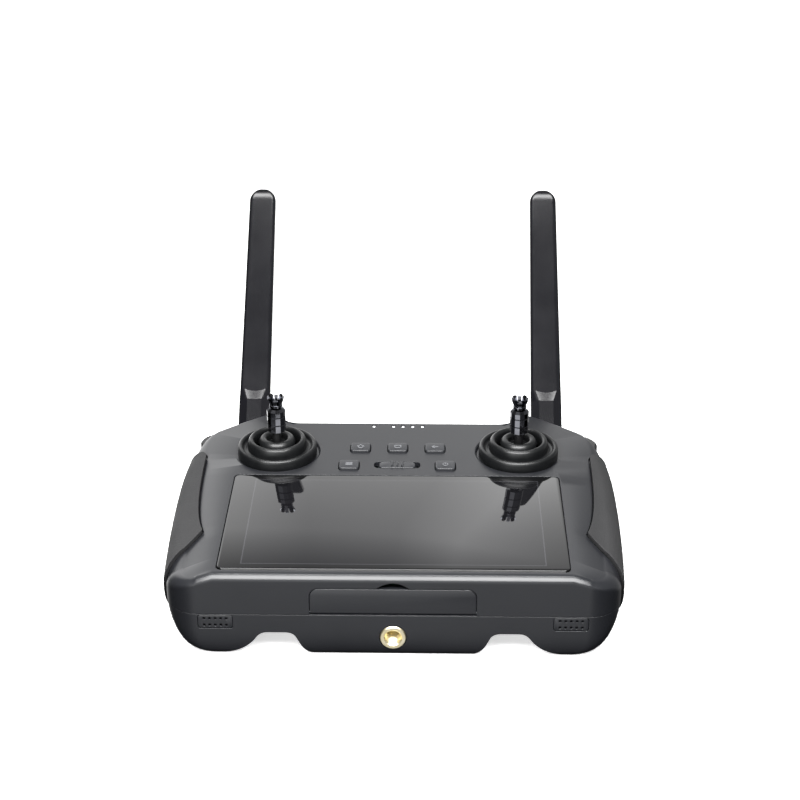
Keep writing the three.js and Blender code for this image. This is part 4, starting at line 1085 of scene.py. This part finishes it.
def antennaBlade():
    size = antennaSize
    low, high, tip = size["bladeLow"], size["length"] - size["tip"], size["tipScale"]
    rings = [bladeRing("neck", z) for z in (-2, size["neckTop"] - 0.3, size["neckTop"])]
    rings.append(bladeRing("blade", low, sag=size["facetSag"]))
    rings += [bladeRing("blade", mix(low, high, i / 8), mix(1, tip, i / 8)) for i in range(1, 9)]
    for i in range(1, 11):
        turn = math.pi / 2 * i / 10 * 0.97
        rings.append(bladeRing("blade", high + size["tip"] * math.sin(turn), tip * math.cos(turn),
                               math.cos(turn) ** 0.45))
    blade = loft("antennaBlade", rings, crease=20)
    eyes = bar("eyes", size["eye"], -size["half"], size["half"], (0, 0, 0), "x", ease=0.4)
    carve(blade, [eyes], "UNION", crease=20)
    half = size["slotHalf"]
    carve(blade, [block("slot", (-half, -10, -6), (half, 10, 6)),
                  bar("slotEnd", size["slotEnd"], -half, half, (0, 0, 0), "x"),
                  bar("pinHole", size["pin"], -15, 15, (0, 0, 0), "x", sides=24)], crease=20)
    markFacet(blade.data)
    blade.data.transform(Matrix.Translation(Vector(antennaAt) * mm)
                         @ Matrix.Rotation(-math.radians(size["tilt"]), 4, "X"))
    return blade


def antennaKnuckle():
    size, (x, y, z) = antennaSize, antennaAt
    half = size["tongueHalf"]
    neck = bar("antennaKnuckle", size["knuckle"], 77.5, 81.3, socketAt, "y", ease=0.4)
    tongue = block("tongue", (x - half, 80.5, z - 4), (x + half, y, z + 4))
    carve(neck, [tongue, bar("eye", size["tongueEye"], -half, half, antennaAt, "x", ease=0.3)], "UNION")
    return carve(neck, [bar("pinHole", size["pin"], -10, 10, antennaAt, "x", sides=24)])


settlePair(antennaBlade(), "antennaBlade", nylonAntenna, "antenna", "antenna", "antenna_blade")
settlePair(antennaKnuckle(), "antennaKnuckle", nylonAntenna, "antenna", "antenna_swivel", "antenna_knuckle")
connector = turned("antennaConnector", connectorProfile, socketAt, "y")
settlePair(connector, "antennaConnector", turnedBrass, "brass", "root", "antenna_connector")
print("antennas made")


# shoulder dials: knurled wheels
def shoulderDial():
    half, r, ease = dialSize["thick"] / 2, dialSize["radius"], dialSize["ease"]
    core = dialSize["core"]
    profile = [(core, -half), (r - ease, -half), (r, ease - half), (r, half - ease), (r - ease, half),
               (core, half)]
    return turned("shoulderDial", profile, dialAt, sides=240, flutes=dialSize["flutes"],
                  fluteDepth=dialSize["fluteDepth"])


settlePair(shoulderDial(), "shoulderDial", blackMoulded, "inner_black", "dial", "shoulder_dial")


# underside: battery cover and screws; a screw is its lowest point, head height, head, shaft and length
coverSize = {"plate": (54, 96, 4), "thick": 1.9, "ease": 0.3, "hole": 1.5, "seat": 2.6,
             "line": (24, 0.9, 0.44), "lines": [26 + 2.2 * i for i in range(5)]}
caseScrew = (2, 1.6, 3, 1.4, 18.8)
coverScrew = (0.25, 1, 2.2, 1.1, 2.2)


def batteryCover():
    size, y = coverSize, bottomSize["coverY"]
    cover = easedPrism("batteryCover", roundedOutline(*size["plate"], 0, y), 0, size["thick"], 0.0,
                       size["ease"])
    tools = []
    for at in coverScrews:
        tools.append(bar("hole", size["hole"], -5, 5, (0, at, 0), sides=24))
        tools.append(bar("seat", size["seat"], -5, 1.5, (0, at, 0), sides=32))
    tools += [easedPrism("gripLine", roundedOutline(*size["line"], 0, at, 4), -2, 0.5)
              for at in size["lines"]]
    carve(cover, tools)
    settlePiece(cover, absShell, "shell", "root", "battery_cover")


batteryCover()


def makeScrew(name, x, y, low, headHeight, headRadius, shaftRadius, length):
    head = low + headHeight
    profile = [(headRadius - 0.25, low), (headRadius, low + 0.25), (headRadius, head), (shaftRadius, head),
               (shaftRadius, head + length - 0.2), (shaftRadius - 0.3, head + length)]
    screw = turned(name, profile, (x, y, 0), sides=40, closed=False)
    return carve(screw, [bar("hex", headRadius * 0.45, low - 2, low + headHeight * 0.5, (x, y, 0), sides=6)])


for (x, y), place in zip(caseScrews, ("front", "rear")):
    settlePair(makeScrew("screw", x, y, *caseScrew), "caseScrew." + place, zincSteel, "steel", "root",
               "case_screw_" + place)
for y, place in zip(coverScrews, ("front", "rear")):
    settlePiece(makeScrew("coverScrew." + place, 0, y, *coverScrew), zincSteel, "steel", "root",
                "cover_screw_" + place)
print("underside made")

# pieces kept from the frame, inside the case
keptFinishes = {
    "keypad_board": maskedBoard, "main_board": maskedBoard, "port_board": maskedBoard,
    "battery_pack": shrinkFilm, "display_panel": blackMoulded, "gimbal_frame": blackMoulded,
    "gimbal_yoke": blackMoulded, "speaker": blackMoulded, "slide_switch_body": zincSteel,
    "port_door_pin": zincSteel, "antenna_pin": zincSteel, "dial_axle": zincSteel,
}
for node, piece in nodes.items():
    base = node.replace("_left", "").replace("_right", "")
    if base in keptFinishes:
        piece.data.materials.clear()
        piece.data.materials.append(keptFinishes[base])

# studio: a pale floor, a room that is bright at eye level behind and dark low down, and soft lamps
studio = {
    "floorHex": "#f4f4f4", "floorGlow": 0.6, "room": 3.0, "lens": 78.93,
    "camera": (13.77, -646.17, 404.22), "yaw": -1.065, "pitch": 26.486, "roll": 0.109,
    # brightness of the room by height of the direction, from straight down (-1) to straight up (1)
    "byHeight": [(-1, 0.0), (-0.76, 0.02), (-0.6, 0.12), (-0.5, 0.45), (-0.4, 0.95), (-0.2, 1.0), (0.1, 0.85),
                 (0.52, 0.8), (0.68, 0.15), (1, 0.15)],
    # and from left (-1) to right (1)
    "bySide": [(-1, 0.03), (-0.7, 0.05), (-0.5, 0.8), (-0.3, 0.95), (-0.12, 0.52), (0, 0.56), (0.08, 0.8),
               (0.16, 0.55), (0.3, 0.19), (1, 0.08)],
}
lamps = {
    # name: place, aim, width, depth in mm, watts
    "frontLamp": ((0, -315, 410), (0, -60, 30), 620, 210, 8),
    "overheadLamp": ((0, 60, 900), (0, 60, 30), 700, 160, 6.5),
}


def addRamp(tree, source, stops):
    # positions from -1 to 1 are laid on the ramp's 0 to 1
    shifted = addNode(tree, "MapRange", {"From Min": -1.0, "From Max": 1.0}, {"Value": source})
    ramp = addNode(tree, "ValToRGB", links={"Fac": shifted})
    points = ramp.color_ramp.elements
    while len(points) < len(stops):
        points.new(0.5)
    for point, (place, _) in zip(points, stops):
        point.position = (place + 1) / 2
    for point, (_, value) in zip(points, stops):
        point.color = (value, value, value, 1)
    return ramp


def makeRoom():
    world = bpy.data.worlds.new("studioRoom")
    world.use_nodes = True
    tree = world.node_tree
    tree.nodes.clear()
    axes = addNode(tree, "SeparateXYZ", links={0: addNode(tree, "TexCoord").outputs["Generated"]})
    sideways = addNode(tree, "Math", {"operation": "MULTIPLY"},
                       {0: axes.outputs["X"], 1: axes.outputs["X"]})
    frontward = addNode(tree, "MapRange", {"From Min": 0.55, "From Max": 0.0, "To Max": -0.7},
                        {"Value": axes.outputs["Y"]})
    dimmed = addNode(tree, "Math", {"operation": "MULTIPLY_ADD"},
                     {0: sideways, 1: frontward, 2: axes.outputs["Z"]})
    product = addNode(tree, "Mix", {"data_type": "RGBA", "blend_type": "MULTIPLY", 0: 1.0},
                      {6: addRamp(tree, dimmed, studio["byHeight"]),
                       7: addRamp(tree, axes.outputs["X"], studio["bySide"])})
    light = addNode(tree, "Background", {"Strength": studio["room"]}, {"Color": product.outputs[2]})
    addNode(tree, "OutputWorld", links={"Surface": light})
    bpy.context.scene.world = world


def makeStudio():
    floorMesh = easedPrism("floor", [(-6000, -6000), (6000, -6000), (6000, 6000), (-6000, 6000)], -2, -0.02)
    finish, tree, place = startFinish("paintedFloor")
    cloud = addNode(tree, "TexNoise", {"Scale": 2.0, "Detail": 2.0}, {"Vector": place})
    gloss = addNode(tree, "MapRange", {"To Min": 0.7, "To Max": 0.8}, {"Value": cloud})
    endFinish(tree, {"Base Color": studio["floorHex"], "Specular IOR Level": 0.2,
                     "Emission Color": "#ffffff", "Emission Strength": studio["floorGlow"]},
              {"Roughness": gloss})
    floorMesh.data.materials.append(finish)
    floorMesh.visible_glossy = False  # the case mirrors the room, not the floor
    floorMesh.visible_diffuse = False
    makeRoom()
    for name, (place, aim, width, depth, watts) in lamps.items():
        light = bpy.data.lights.new(name, "AREA")
        light.shape = "RECTANGLE"
        light.size = width * mm
        light.size_y = depth * mm
        light.energy = watts
        lamp = addObject(name, light)
        lamp.location = Vector(place) * mm
        lamp.rotation_euler = (Vector(aim) - Vector(place)).to_track_quat("-Z", "Y").to_euler()
        lamp.visible_camera = False
    bpy.context.scene.view_settings.view_transform = "Standard"


def makeCamera():
    yaw, pitch, roll = (math.radians(studio[key]) for key in ("yaw", "pitch", "roll"))
    ahead = Vector((math.sin(yaw) * math.cos(pitch), math.cos(yaw) * math.cos(pitch), -math.sin(pitch)))
    right = Vector((math.cos(yaw), -math.sin(yaw), 0))
    down = ahead.cross(right)
    across = math.cos(roll) * right + math.sin(roll) * down
    below = -math.sin(roll) * right + math.cos(roll) * down
    camera = bpy.data.cameras.new("camera")
    camera.lens = studio["lens"]
    camera.sensor_width = 36
    camera.clip_start = 0.01
    holder = addObject("camera", camera)
    turn = Matrix((across, -below, -ahead)).transposed()
    holder.matrix_world = Matrix.Translation(Vector(studio["camera"]) * mm) @ turn.to_4x4()
    bpy.context.scene.camera = holder


makeStudio()
makeCamera()
print("studio set")
